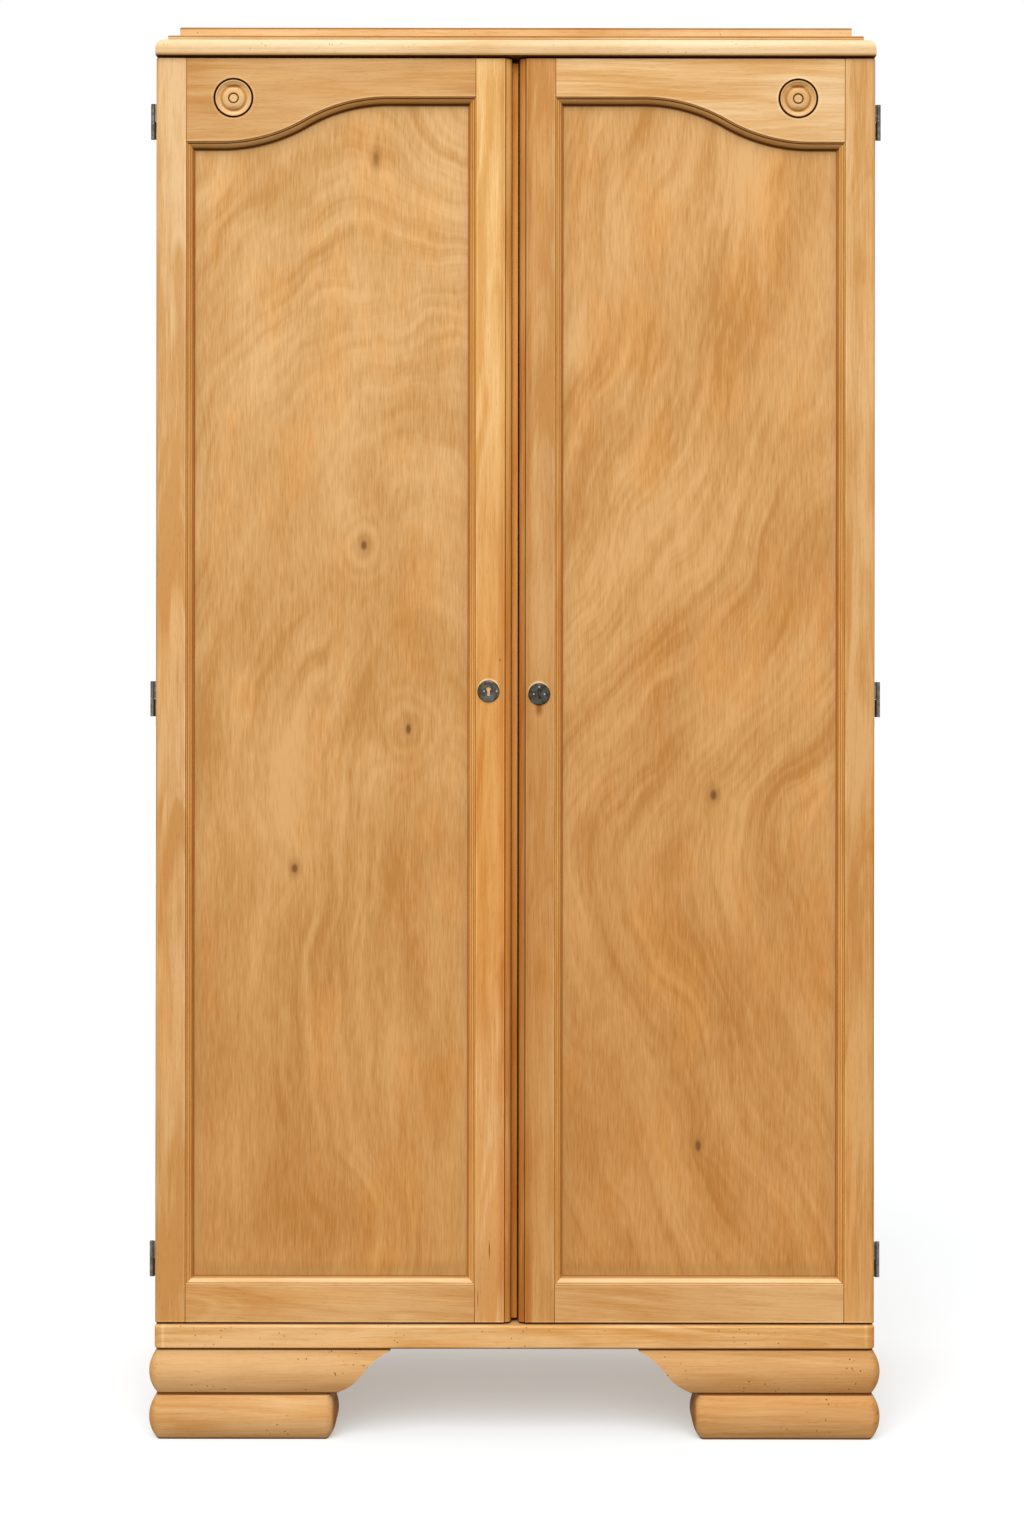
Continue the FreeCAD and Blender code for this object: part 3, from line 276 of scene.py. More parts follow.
class GrownWood(Effect):
    """Solid wood with tapering rings about a pith along X, long fibres and short pores."""

    def __init__(self) -> None:
        """Wire the rings, the fibres and the pores."""
        super().__init__(
            "grown wood", "Position", "Pale", "Dark", "Ring Width", "Taper", "Contrast", "Pores"
        )
        position, pale, dark, ring_width, taper, contrast, pores = self.given
        along, side, rise = self.split(position)
        wander = self.centred(self.noise(position, (3.5, 9, 9)), 0.03)
        drift = self.centred(self.noise(position, (2.6, 6, 6)), 0.04)
        from_pith = self.length(self.total(side, wander), self.total(rise, drift))
        radius = self.math("MULTIPLY_ADD", along, taper, from_pith)
        rings = self.stripes(radius, self.math("DIVIDE", 1.0, ring_width), along, 3.0, 3.0)
        fading = self.spread(self.noise(position, (4, 22, 22), 1), 0.38, 0.62, 0.1, 1.0)
        rings = self.times(self.centred(rings, 2.2), fading)
        patch = self.centred(self.noise(position, (4, 14, 14), 2), 3.0)
        streak = self.centred(self.noise(position, (5, 105, 105), 3), 1.2)
        fibre = self.noise(position, (16, 480, 480), 3)
        pore = self.spread(self.noise(position, (70, 1300, 1300), 1), 0.60, 0.74)
        pore = self.times(pore, pores)
        figure = self.total(rings, patch, streak, self.centred(fibre, 1.6))
        colour = self.mix(self.math("MULTIPLY_ADD", figure, contrast, 0.5, clamp=True), pale, dark)
        amber = self.spread(self.noise(position, (2.1, 26, 26), 2), 0.5, 0.68, 0.0, 0.55)
        self.close(
            Color=self.tinted(pore, self.tinted(amber, colour, AMBER_STREAK), PORE),
            Height=self.minus(self.centred(fibre, 0.6), pore),
            Roughness=self.spread(fibre, 0.3, 0.7, 0.46, 0.6),
        )


class PeeledVeneer(Effect):
    """Rotary-cut veneer: soft bands along a figure, rings in calm places and upright fibre flecks."""

    def __init__(self) -> None:
        """Wire the bands, the clouds and the flecks."""
        super().__init__(
            "peeled veneer", "Position", "Figure", "Calm", "Rings", "Pale", "Dark", "Strength"
        )
        position, figure, calm, rings, pale, dark, strength = self.given
        x, y, rise = self.split(position)
        path = self.total(rise, x, y)
        broad = self.stripes(figure, 18.0, path, 2.2, 1.0)
        fine = self.stripes(figure, 70.0, path, 4.5, 3.0)
        fading = self.spread(self.noise(position, (7, 7, 4), 1), 0.32, 0.62, 0.35, 1.0)
        fading = self.times(fading, self.minus(1.0, calm))
        band = self.total(self.centred(broad, 4.8), self.centred(fine, 5.4))
        band = self.times(band, fading, strength)
        cloud = self.centred(self.noise(position, (11, 11, 5), 3), 3.2)
        streak = self.centred(self.noise(position, (200, 200, 12), 2), 1.2)
        fleck = self.noise(position, (520, 520, 42), 2)
        tone = self.total(band, rings, cloud, streak, self.centred(fleck, 3.3))
        self.close(
            Color=self.mix(self.math("MULTIPLY_ADD", tone, 0.40, 0.5, clamp=True), pale, dark),
            Height=self.centred(fleck, -1.0),
            Roughness=self.spread(fleck, 0.3, 0.7, 0.5, 0.62),
        )


class WormHoles(Effect):
    """Small round holes in loose clusters, as a mask."""

    def __init__(self) -> None:
        """Wire the holes and their clusters."""
        super().__init__("worm holes", "Position", "Amount")
        position, amount = self.given
        cells = self.add("TexVoronoi", {"Vector": position, "Scale": 130.0}, feature="F1")
        hole = self.spread(cells.outputs["Distance"], 0.15, 0.09)
        cluster = self.spread(self.noise(position, (15, 15, 15), 1), 0.5, 0.6)
        self.close(Mask=self.times(hole, cluster, amount))


class DoorOpening(Effect):
    """How far a place lies inside a door's opening, from the edge of its frame."""

    def __init__(self) -> None:
        """Wire the two arcs of the head, then the straight edges."""
        super().__init__("door opening", "Position")
        x, _, rise = self.split(self.given[0])
        outward = self.math("ABSOLUTE", x)
        low_run = self.most(self.minus(CURVE_OUTER, outward), 0.0)
        low_rise = self.minus(SHOULDER_Z + CURVE_RADIUS, rise)
        low = self.minus(self.length(low_run, low_rise), CURVE_RADIUS)
        high_run = self.most(self.minus(outward, CURVE_INNER), 0.0)
        high_rise = self.most(self.minus(rise, OPENING_HEAD - CURVE_RADIUS), 0.0)
        high = self.minus(CURVE_RADIUS, self.length(high_run, high_rise))
        outer_half = self.math("GREATER_THAN", outward, CURVE_MIDDLE)
        inside = self.least(
            self.math("MULTIPLY_ADD", outer_half, self.minus(low, high), high),
            self.minus(rise, OPENING_FOOT),
            self.minus(outward, OPENING_INNER),
            self.minus(OPENING_OUTER, outward),
        )
        self.close(Inside=inside)


class TarnishedMetal(Effect):
    """Steel with a cloudy brown tarnish."""

    def __init__(self) -> None:
        """Wire the clouds of tarnish."""
        super().__init__("tarnished metal", "Position", "Steel", "Tarnish", "Amount")
        position, steel, tarnish, amount = self.given
        cloud = self.noise(position, (130, 130, 130), 4)
        speck = self.noise(position, (900, 900, 900), 2)
        worn = self.spread(self.total(cloud, self.centred(speck, 0.4)), 0.38, 0.62)
        self.close(
            Color=self.mix(self.times(worn, amount), steel, tarnish),
            Height=speck,
            Roughness=self.spread(worn, 0.0, 1.0, 0.34, 0.62),
        )


GROWN_WOOD = GrownWood()
PEELED_VENEER = PeeledVeneer()
WORM_HOLES = WormHoles()
DOOR_OPENING = DoorOpening()
TARNISHED_METAL = TarnishedMetal()


class Surface(Graph):
    """A piece's material that is being wired, with its shader and the place that its pattern reads."""

    def __init__(self, piece: Piece, finish: str, specular: float) -> None:
        """Start a material on a piece.

        Args:
            piece: The piece to dress.
            finish: The finish's name, which ends the material's name.
            specular: The shader's specular level.
        """
        material = bpy.data.materials.new(f"{piece.name}_{finish}")
        material.use_nodes = True
        piece.material_slots[0].material = material
        super().__init__(material.node_tree)
        self.shader = self.tree.nodes["Principled BSDF"]
        self.feed(self.shader, {"Specular IOR Level": specular})
        self.place = self.add("TexCoord").outputs["Object"]
        self.x, self.depth, self.height = self.split(self.place)

    @cached_property
    def outward(self) -> Socket:
        """The distance from the wardrobe's middle."""
        return self.math("ABSOLUTE", self.x)

    @cached_property
    def behind(self) -> Socket:
        """1 behind the doors' face, and 0 on it."""
        return self.math("GREATER_THAN", self.depth, FACE_END)

    @cached_property
    def inside(self) -> Socket:
        """The distance inside a door's opening."""
        return self.group(DOOR_OPENING, Position=self.place).outputs["Inside"]

    @cached_property
    def from_rosette(self) -> Socket:
        """The distance from a rosette's middle, which is out of reach behind the face."""
        return self.from_point(ROSETTE_X, ROSETTE_Z, 1.0, 1.0)

    def from_point(self, x: float, z: float, width: float, length: float) -> Socket:
        """The distance from a point on the face, in an ellipse's half width and half length."""
        away = self.ellipse((self.outward, self.height), (x, z), (width, length))
        return self.total(away, self.behind)

    def turned(self, centre: Vector, turn: Triple, offset: Triple) -> Socket:
        """The place measured from a centre, turned about X, Y and Z, then moved by an offset."""
        shift = self.add("VectorMath", {0: self.place, 1: tuple(centre)}, operation="SUBTRACT").outputs[0]
        return self.add("Mapping", {"Vector": shift, "Rotation": turn, "Location": offset}).outputs[0]

    def finish(self, colour: Socket, look: Node, relief: float) -> None:
        """Wire the shader.

        Args:
            colour: The base colour.
            look: The group that gives the roughness and the height of the relief.
            relief: The depth of one unit of height, in metres.
        """
        heights = {"Strength": 1.0, "Distance": relief, "Height": look.outputs["Height"]}
        normal = self.add("Bump", heights).outputs["Normal"]
        roughness = look.outputs["Roughness"]
        self.feed(self.shader, {"Base Color": colour, "Roughness": roughness, "Normal": normal})


class Grain(Enum):
    """The way that a board's fibres run, as the turn that lays them along X."""

    ALONG_X = (0.0, 0.0, 0.0)
    ALONG_Y = (0.0, 0.0, -math.pi / 2)
    ALONG_Z = (0.0, math.pi / 2, 0.0)


class Side(Enum):
    """Which half of the wardrobe a piece belongs to, with the sign of its X."""

    LEFT = -1
    RIGHT = 1

    def node(self, part: str) -> str:
        """The name of one of this side's nodes or bodies."""
        return f"{self.name.lower()}_{part}"


class Measure(Enum):
    """What a mark of dirt, wear, painted light or painted shade is measured along, as the name of a
    surface's own measure.
    """

    MIDDLE = "outward"
    DEPTH = "depth"
    HEIGHT = "height"
    OPENING = "inside"
    ROSETTE = "from_rosette"

    def read(self, surface: Surface) -> Socket:
        """The measure of a surface's place, in metres."""
        return getattr(surface, self.value)


ALONG_X, ALONG_Y, ALONG_Z = Grain
MIDDLE, DEPTH, HEIGHT, OPENING, ROSETTE = Measure

# What the marks multiply a colour by, from near black to paler than bare wood. Several paint light and
# shade: the near-black one paints shade in gaps, the dark brown ones paint both dirt and shade, others
# paint shade in hollows, on undersides and on ends that turn away, one paints light on faces that turn up,
# and PALE paints highlights on the plinth, a bead and the rosettes, and pale lines along the door frames.
GAP_SHADE = (0.11, 0.05, 0.02)
DIRT_AND_SHADE = (0.26, 0.18, 0.10)
STAIN_AND_SHADE = (0.52, 0.40, 0.26)
RUSTY = (0.62, 0.46, 0.32)
SEAM = (0.66, 0.52, 0.34)
HOLLOW_SHADE = (0.70, 0.60, 0.46)
UMBER = (0.72, 0.60, 0.44)
TOASTED = (0.79, 0.62, 0.44)
LOWER_SHADE = (0.80, 0.70, 0.56)
SHADED = (0.82, 0.80, 0.76)
AGED = (0.83, 0.73, 0.60)
DUSTY = (0.90, 0.90, 0.86)
GREYED = (0.91, 0.90, 0.88)
TURNED_AWAY_SHADE = (0.92, 0.84, 0.70)
ROUNDED_SHADE = (0.95, 0.88, 0.76)
PAINTED_TOP_LIGHT = (1.06, 1.18, 1.36)
PALE = (1.10, 1.18, 1.32)
WASHED = (1.125, 1.39, 2.2)
RIM_HIGHLIGHT = (1.3, 1.8, 3.0)

# The share of a line's width within which it is full.
LINE_CORE = 0.45


class Mark:
    """A stretch of dirt, wear, painted light or painted shade: a mask, and the factors that the colour
    under it is multiplied by.
    """

    factors: Triple

    def mask(self, surface: Surface) -> Socket:
        """How much of the mark shows, from 0 to 1."""
        raise NotImplementedError

    def draw(self, surface: Surface, colour: Socket) -> Socket:
        """A surface's colour with the mark on it."""
        return surface.tinted(self.mask(surface), colour, self.factors)


Marks = tuple[Mark, ...]


@dataclass(frozen=True)
class Line(Mark):
    """A thin line at one level of a measure, with half its width."""

    measure: Measure
    level: float
    width: float
    factors: Triple

    def mask(self, surface: Surface) -> Socket:
        """Full at the level, and gone at the line's edges."""
        away = surface.math("ABSOLUTE", surface.minus(self.measure.read(surface), self.level))
        return surface.spread(away, self.width, self.width * LINE_CORE)


@dataclass(frozen=True)
class Fade(Mark):
    """A change that starts at one level of a measure and is full where it ends."""

    measure: Measure
    start: float
    end: float
    factors: Triple

    def mask(self, surface: Surface) -> Socket:
        """None up to the start, and full from the end on."""
        return surface.spread(self.measure.read(surface), self.start, self.end)


@dataclass(frozen=True)
class Spot(Mark):
    """A round or oval spot on the front, at a distance x from the middle and a height z.

    Its width and length are half its size, and firm is the share of them within which it is full.
    """

    x: float
    z: float
    width: float
    length: float
    factors: Triple
    firm: float = 0.3

    def mask(self, surface: Surface) -> Socket:
        """Full in the middle, gone at the spot's edge, and out of reach behind the face."""
        near = surface.from_point(self.x, self.z, self.width, self.length)
        return surface.spread(near, 1.0, self.firm)


# What the mean colour of solid wood is multiplied by in its pale and dark grain and on worn edges.
PALE_GRAIN = (1.10, 1.21, 1.42)
DARK_GRAIN = (0.88, 0.795, 0.66)
WORN_EDGE = (1.3, 1.36, 1.5)

# How much of a worn edge's own colour shows, and the colour of worm holes.
EDGE_SHARE = 0.4
HOLE = srgb(92, 58, 30)


@dataclass(frozen=True)
class Wood:
    """Bare solid wood in one tone.

    Attributes:
        tone: The mean colour.
        contrast: How strongly rings and fibres show.
        ring_width: The mean distance between rings.
        taper: How fast the trunk narrows, which closes the rings into arches.
        pores: How dark the pores are.
        worm: How many worm holes show, from 0 to 1.
        pith: Where the pith lies from the board's middle, across the fibres.
        marks: The dirt, wear, painted light and painted shade on it.
    """

    tone: Colour
    contrast: float = 0.6
    ring_width: float = 0.006
    taper: float = 0.05
    pores: float = 0.3
    worm: float = 0.0
    pith: Pair = (0.04, 0.012)
    marks: Marks = ()

    def dress(self, piece: Piece, grain: Grain, seed: float, tilt: float = 0.0) -> None:
        """Give a piece this wood.

        Args:
            piece: The piece to dress.
            grain: The way its fibres run.
            seed: A distance along the fibres that makes each board differ.
            tilt: How far the fibres slant, in radians.
        """
        board = Surface(piece, "wood", WOOD_SHEEN)
        corners = [Vector(corner) for corner in piece.bound_box]
        turn = (grain.value[0], grain.value[1] + tilt, grain.value[2])
        position = board.turned((corners[0] + corners[6]) / 2, turn, (seed, *self.pith))
        wood = board.group(
            GROWN_WOOD, Position=position, Pale=scaled(self.tone, PALE_GRAIN),
            Dark=scaled(self.tone, DARK_GRAIN), Ring_Width=self.ring_width, Taper=self.taper,
            Contrast=self.contrast, Pores=self.pores,
        )
        worn = board.times(board.add("Attribute", attribute_name="worn").outputs["Fac"], EDGE_SHARE)
        colour = board.mix(worn, wood.outputs["Color"], scaled(self.tone, WORN_EDGE))
        if self.worm:
            holes = board.group(WORM_HOLES, Position=position, Amount=self.worm)
            colour = board.mix(holes.outputs["Mask"], colour, HOLE)
        for mark in self.marks:
            colour = mark.draw(board, colour)
        board.finish(colour, wood, WOOD_RELIEF)


@dataclass(frozen=True)
class Knot:
    """A small dark knot in a veneer.

    Attributes:
        x: Its place across the front.
        z: Its height.
        width: Half its width.
        length: Half its length, along the fibres.
        swirl: How far the figure is lifted round it.
        spread: How wide that lift is.
        ringed: Whether rings show round it.
        depth: How dark its core is, from 0 to 1.
    """

    x: float
    z: float
    width: float
    length: float
    swirl: float = 0.0
    spread: float = 0.03
    ringed: bool = False
    depth: float = 0.8


class Figure(Enum):
    """The course of a veneer's bands: for arches their axis, their foot and how narrow they are."""

    CROWNED = (-0.10, 0.75, 0.5)
    PLAIN = (0.02, 0.3, 0.16)
    LEANING = None


# The place of a leaning band's tip, how it falls above and below, and how round the tip is.
TIP_X = -0.52
TIP_Z = 0.775
TIP_FALL = -0.4
TIP_SLOPE = -0.45
TIP_ROUND = 0.25

# How closely the rings round a knot follow each other, how dark they are, and how long for their width.
RING_PACE = 10.5
RING_DEPTH = 0.45
RING_LENGTH = 1.35

# The share of a veneer's strength that is left at its foot, where the bands are calmer.
LOW_STRENGTH = 0.7

# What a veneer's colour is multiplied by in its pale and dark bands.
PALE_BAND = (1.17, 1.28, 1.54)
DARK_BAND = (0.83, 0.755, 0.62)

# The colours of a knot's halo and core, and of the dirt and painted shade along a panel's mouldings.
KNOT_HALO = srgb(166, 112, 58)
KNOT_CORE = srgb(112, 72, 36)
DIRT_AND_SHADE_FILM = srgb(178, 142, 94)
DIRT_AND_SHADE_LINE = srgb(148, 84, 14)
DUSTY_FOOT = Fade(HEIGHT, OPENING_FOOT + 0.034, OPENING_FOOT + 0.018, DUSTY)


@dataclass(frozen=True)
class Veneer:
    """Plywood faced with peeled veneer.

    Attributes:
        low: The colour at the foot.
        high: The colour at the head.
        figure: The course of the bands.
        strength: How strongly the bands show.
        knots: The knots in it.
        hills: Places (x, z, lift, spread) where the figure swells without a knot.
        framed: Whether dirt and painted shade lie round the panel, along a door's mouldings.
    """

    low: Colour
    high: Colour
    figure: Figure
    strength: float = 0.64
    knots: tuple[Knot, ...] = ()
    hills: tuple[tuple[float, float, float, float], ...] = ()
    framed: bool = False

    def dress(self, piece: Piece, across_y: bool = False) -> None:
        """Give a piece this veneer, on a sheet that lies along Y, as a side does, or else along X."""
        Sheet(piece, self, across_y).wire()


class Sheet(Surface):
    """The material of a veneered sheet that is being wired."""

    def __init__(self, piece: Piece, veneer: Veneer, across_y: bool) -> None:
        """Start the sheet's material.

        Args:
            piece: The piece to dress.
            veneer: The veneer on it.
            across_y: Whether it lies along Y, and not along X.
        """
        super().__init__(piece, "veneer", WOOD_SHEEN)
        self.veneer = veneer
        self.across = self.depth if across_y else self.x

    def near(self, x: float, z: float, width: float, length: float) -> Socket:
        """How far a place lies from a point, measured in an ellipse's half width and half length."""
        return self.ellipse((self.across, self.height), (x, z), (width, length))

    def field(self) -> Socket:
        """The course of the bands.

        Returns:
            A measure in metres that is constant along each band.
        """
        if self.veneer.figure is Figure.LEANING:
            height = self.minus(self.height, TIP_Z)
            upper = self.times(self.math("EXPONENT", self.math("DIVIDE", height, TIP_FALL)), TIP_X)
            lower = self.math("MULTIPLY_ADD", height, TIP_SLOPE, TIP_X)
            return self.minus(self.across, self.math("SMOOTH_MAX", upper, lower, TIP_ROUND))
        axis, foot, squeeze = self.veneer.figure.value
        climb = self.most(self.minus(self.height, foot), 0.0)
        return self.length(self.minus(self.across, axis), self.times(climb, squeeze))

    def lift(self) -> Value:
        """The swells of the bands round knots and hills.

        Returns:
            What is added to the bands' measure.
        """
        knots = [(knot.x, knot.z, knot.swirl, knot.spread) for knot in self.veneer.knots if knot.swirl]
        result = 0.0
        for x, z, height, width in (*knots, *self.veneer.hills):
            swell = self.bell(self.near(x, z, width, width * RING_LENGTH))
            result = self.math("MULTIPLY_ADD", swell, height, result)
        return result

    def rings(self) -> tuple[Value, Value]:
        """The uneven rings round the larger knots.

        Returns:
            Where the bands give way to rings, and how dark the rings are.
        """
        unrest = self.centred(self.noise(self.place, (26, 26, 16), 2), 9.0)
        calm, tone = 0.0, 0.0
        for knot in self.veneer.knots:
            if knot.ringed:
                near = self.near(knot.x, knot.z, knot.spread, knot.spread * RING_LENGTH)
                swell = self.bell(near)
                calm = self.most(calm, swell)
                wave = self.math("SINE", self.math("MULTIPLY_ADD", near, RING_PACE, unrest))
                tone = self.math("MULTIPLY_ADD", self.times(wave, swell), -RING_DEPTH, tone)
        return calm, tone

    def knotted(self, colour: Socket) -> Socket:
        """The colour with each knot's dark core and faint halo drawn in.

        Args:
            colour: The veneer's colour.

        Returns:
            The colour with knots.
        """
        for knot in self.veneer.knots:
            near = self.near(knot.x, knot.z, knot.width, knot.length)
            colour = self.mix(self.spread(near, 3.0, 0.9, 0.0, 0.5), colour, KNOT_HALO)
            colour = self.mix(self.spread(near, 1.3, 0.4, 0.0, knot.depth), colour, KNOT_CORE)
        return colour

    def soiled_and_shaded(self, colour: Socket) -> Socket:
        """The colour with dirt and painted shade along the mouldings that frame the panel's front.

        Args:
            colour: The veneer's colour.

        Returns:
            The colour with dirt and painted shade.
        """
        behind = self.math("GREATER_THAN", self.depth, PANEL_MIDDLE)
        gap = self.total(self.inside, -BEAD_WIDTH, behind)
        ragged = self.centred(self.noise(self.place, (160, 160, 30), 2), 0.016)
        film = self.spread(self.total(gap, ragged), 0.020, -0.004, 0.0, 0.32)
        line = self.spread(gap, 0.0020, 0.0003, 0.0, 0.72)
        colour = self.mix(film, DUSTY_FOOT.draw(self, colour), DIRT_AND_SHADE_FILM)
        return self.mix(line, colour, DIRT_AND_SHADE_LINE)

    def wire(self) -> None:
        """Wire the bands, the rings, the knots, and the dirt and painted shade round the panel."""
        strength = self.veneer.strength
        sway = self.centred(self.noise(self.place, (6, 6, 3.5), 2), 0.11)
        ripple = self.centred(self.noise(self.place, (24, 24, 10), 2), 0.018)
        calm, rings = self.rings()
        body = self.mix(self.spread(self.height, 0.2, 1.7), self.veneer.low, self.veneer.high)
        look = self.group(
            PEELED_VENEER, Position=self.place, Calm=calm, Rings=rings,
            Figure=self.total(self.field(), sway, ripple, self.lift()),
            Strength=self.spread(self.height, 0.3, 0.95, strength * LOW_STRENGTH, strength),
            Pale=self.tinted(1.0, body, PALE_BAND), Dark=self.tinted(1.0, body, DARK_BAND),
        )
        gold = self.spread(self.noise(self.place, (17, 17, 7), 3), 0.5, 0.7, 0.0, 0.55)
        colour = self.knotted(self.tinted(gold, look.outputs["Color"], GOLD_CLOUD))
        if self.veneer.framed:
            colour = self.soiled_and_shaded(colour)
        self.finish(colour, look, VENEER_RELIEF)


@dataclass(frozen=True)
class Steel:
    """Plain steel with tarnish.

    Attributes:
        name: The finish's name.
        colour: The bare metal's colour.
        tarnish: The colour of the tarnish.
        amount: How much of the metal is tarnished.
        metallic: How metallic it looks.
    """

    name: str
    colour: Colour
    tarnish: Colour
    amount: float
    metallic: float = 0.9

    def dress(self, piece: Piece) -> None:
        """Give a piece this metal.

        Args:
            piece: The piece to dress.
        """
        metal = Surface(piece, self.name, STEEL_SHEEN)
        metal.feed(metal.shader, {"Metallic": self.metallic})
        colours = {"Steel": self.colour, "Tarnish": self.tarnish}
        look = metal.group(TARNISHED_METAL, Position=metal.place, Amount=self.amount, **colours)
        metal.finish(look.outputs["Color"], look, STEEL_RELIEF)


# The tones of the boards, from the palest to the darkest.
CREAM = srgb(235, 195, 141)
GOLD = srgb(239, 187, 117)
WHEAT = srgb(231, 186, 129)
STRAW = srgb(227, 180, 122)
SAND = srgb(221, 170, 109)
CARAMEL = srgb(219, 161, 90)
HONEY = srgb(214, 161, 100)
OAT = srgb(211, 161, 103)
RYE = srgb(209, 158, 99)
BARLEY = srgb(207, 155, 97)
TAN = srgb(207, 153, 94)
AMBER = srgb(222, 150, 72)
# OLIVE is the top bead's tone, darkened as painted shade under the top rail.
OLIVE = srgb(184, 134, 76)

SIDE_VENEER = Veneer(srgb(206, 150, 88), srgb(219, 168, 107), Figure.PLAIN, 0.5)
BACK_VENEER = Veneer(srgb(196, 146, 92), srgb(205, 156, 100), Figure.PLAIN, 0.6)
LEFT_PANEL = Veneer(
    low=srgb(197, 141, 78), high=srgb(218, 167, 105), figure=Figure.CROWNED, framed=True,
    knots=(
        Knot(-0.178, 1.629, 0.0036, 0.0092, depth=0.45),
        Knot(-0.193, 1.136, 0.0042, 0.0068, 0.06, 0.024, ringed=True),
        Knot(-0.136, 0.902, 0.0036, 0.0072, 0.07, 0.029, ringed=True),
        Knot(-0.281, 0.724, 0.0044, 0.0066, 0.03, 0.014),
    ),
    hills=((-0.03, 1.72, 0.14, 0.09), (-0.187, 0.27, 0.07, 0.05)),
)
RIGHT_PANEL = Veneer(
    low=srgb(195, 138, 75), high=srgb(214, 160, 97), figure=Figure.LEANING, framed=True,
    knots=(
        Knot(0.253, 0.818, 0.0046, 0.0072, 0.02, 0.014),
        Knot(0.234, 0.371, 0.0042, 0.0074, 0.02, 0.014),
    ),
    hills=((0.375, 1.12, 0.055, 0.05),),
)

HINGE_STEEL = Steel("hinge_steel", srgb(118, 115, 107), srgb(72, 63, 50), 0.55)
PLATE_STEEL = Steel("plate_steel", srgb(94, 93, 86), srgb(50, 39, 27), 0.7)
DARK_STEEL = Steel("dark_steel", srgb(76, 74, 67), srgb(40, 30, 20), 0.7)
TACK_STEEL = Steel("tack_steel", srgb(190, 188, 180), srgb(120, 112, 100), 0.4)
LOCK_STEEL = Steel("lock_steel", srgb(122, 118, 110), srgb(84, 66, 48), 0.7)
SCREW_STEEL = Steel("screw_steel", srgb(136, 132, 124), srgb(80, 66, 50), 0.6)


def long_edges(least: float) -> EdgePick:
    """A pick of the edges that are at least so long, in metres."""
    return lambda edge: edge.calc_length() >= least


def front_edges(level: float) -> EdgePick:
    """A pick of the edges that lie in an upright plane, given as its Y."""
    return lambda edge: all(abs(vert.co.y - level) < 2 * MERGE for vert in edge.verts)


@dataclass(kw_only=True)
class Assembly:
    """Pieces that share a body, with the ways to show them.

    Attributes:
        body: The body that the new pieces ride on.
        easing: How far the rounding of an eased edge reaches.
    """

    body: str = "carcass"
    easing: float = 0.0008

    def bare(self, node: str) -> Piece:
        """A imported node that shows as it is."""
        LOG.info("%s shows as packed", node)
        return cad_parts[node]

    def eased(self, node: str, pick: EdgePick) -> Piece:
        """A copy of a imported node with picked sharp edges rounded, which stands for the node.

        Args:
            node: The node's name.
            pick: Which of the sharp edges are rounded.

        Returns:
            The new piece.
        """
        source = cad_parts[node]
        mesh = bmesh.new()
        mesh.from_mesh(source.data)
        worn = mesh.faces.layers.float.new("worn")
        bmesh.ops.remove_doubles(mesh, verts=mesh.verts, dist=MERGE)
        bmesh.ops.dissolve_limit(mesh, angle_limit=FLAT, verts=mesh.verts, edges=mesh.edges)
        sharp = [edge for edge in mesh.edges if edge.is_manifold and edge.calc_face_angle() > SHARP]
        made = bmesh.ops.bevel(
            mesh, geom=[edge for edge in sharp if pick(edge)], offset=self.easing, offset_type="OFFSET",
            affect="EDGES", segments=2, profile=0.5, material=-1, clamp_overlap=False,
        )
        for face in made["faces"]:
            face[worn] = 1.0
        data = bpy.data.meshes.new(f"{node}_eased")
        mesh.to_mesh(data)
        mesh.free()
        data.shade_smooth()
        data.set_sharp_from_angle(angle=SMOOTH)
        data.materials.append(source.data.materials[0])
        piece = show(bpy.data.objects.new(f"{node}_eased", data))
        piece.modifiers.new("even shading", "WEIGHTED_NORMAL").keep_sharp = True
        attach(piece, self.body)
        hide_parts(node)
        LOG.info("%s rides on %s", piece.name, self.body)
        return piece


@dataclass(kw_only=True)
class Cornice(Assembly):
    """The board on top of the carcass and its two steps.

    Attributes:
        slant: How far the boards' fibres slant, in radians.
    """

    slant: float = 0.004

    def build(self) -> None:
        """Ease and dress the board and the two steps."""
        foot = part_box("cornice_board")[0][2]
        # Painted light on the board's upper part, where it rounds over to face up, painted shade on its
        # lower edge, and a dark line for the shadow of the gap above the doors.
        marks = (
            Fade(HEIGHT, foot + 0.006, foot + 0.016, PAINTED_TOP_LIGHT),
            Fade(HEIGHT, foot + 0.0045, foot + 0.0008, STAIN_AND_SHADE),
            Line(HEIGHT, foot, 0.0005, DIRT_AND_SHADE),
        )
        board = self.eased("cornice_board", long_edges(0.1))
        Wood(CREAM, contrast=0.45, worm=0.5, marks=marks).dress(board, ALONG_X, 1.3, self.slant)
        for number, node in enumerate(("cornice_lower_step", "cornice_upper_step")):
            low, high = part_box(node)
            marks = (
                Fade(HEIGHT, low[2] + 0.002, low[2] + 0.0004, DIRT_AND_SHADE),
                Line(HEIGHT, high[2] - 0.0016, 0.0016, STAIN_AND_SHADE),
            )
            step = self.eased(node, long_edges(0.1))
            Wood(WHEAT, worm=0.5, marks=marks).dress(step, ALONG_X, 2.0 + 0.7 * number, self.slant)


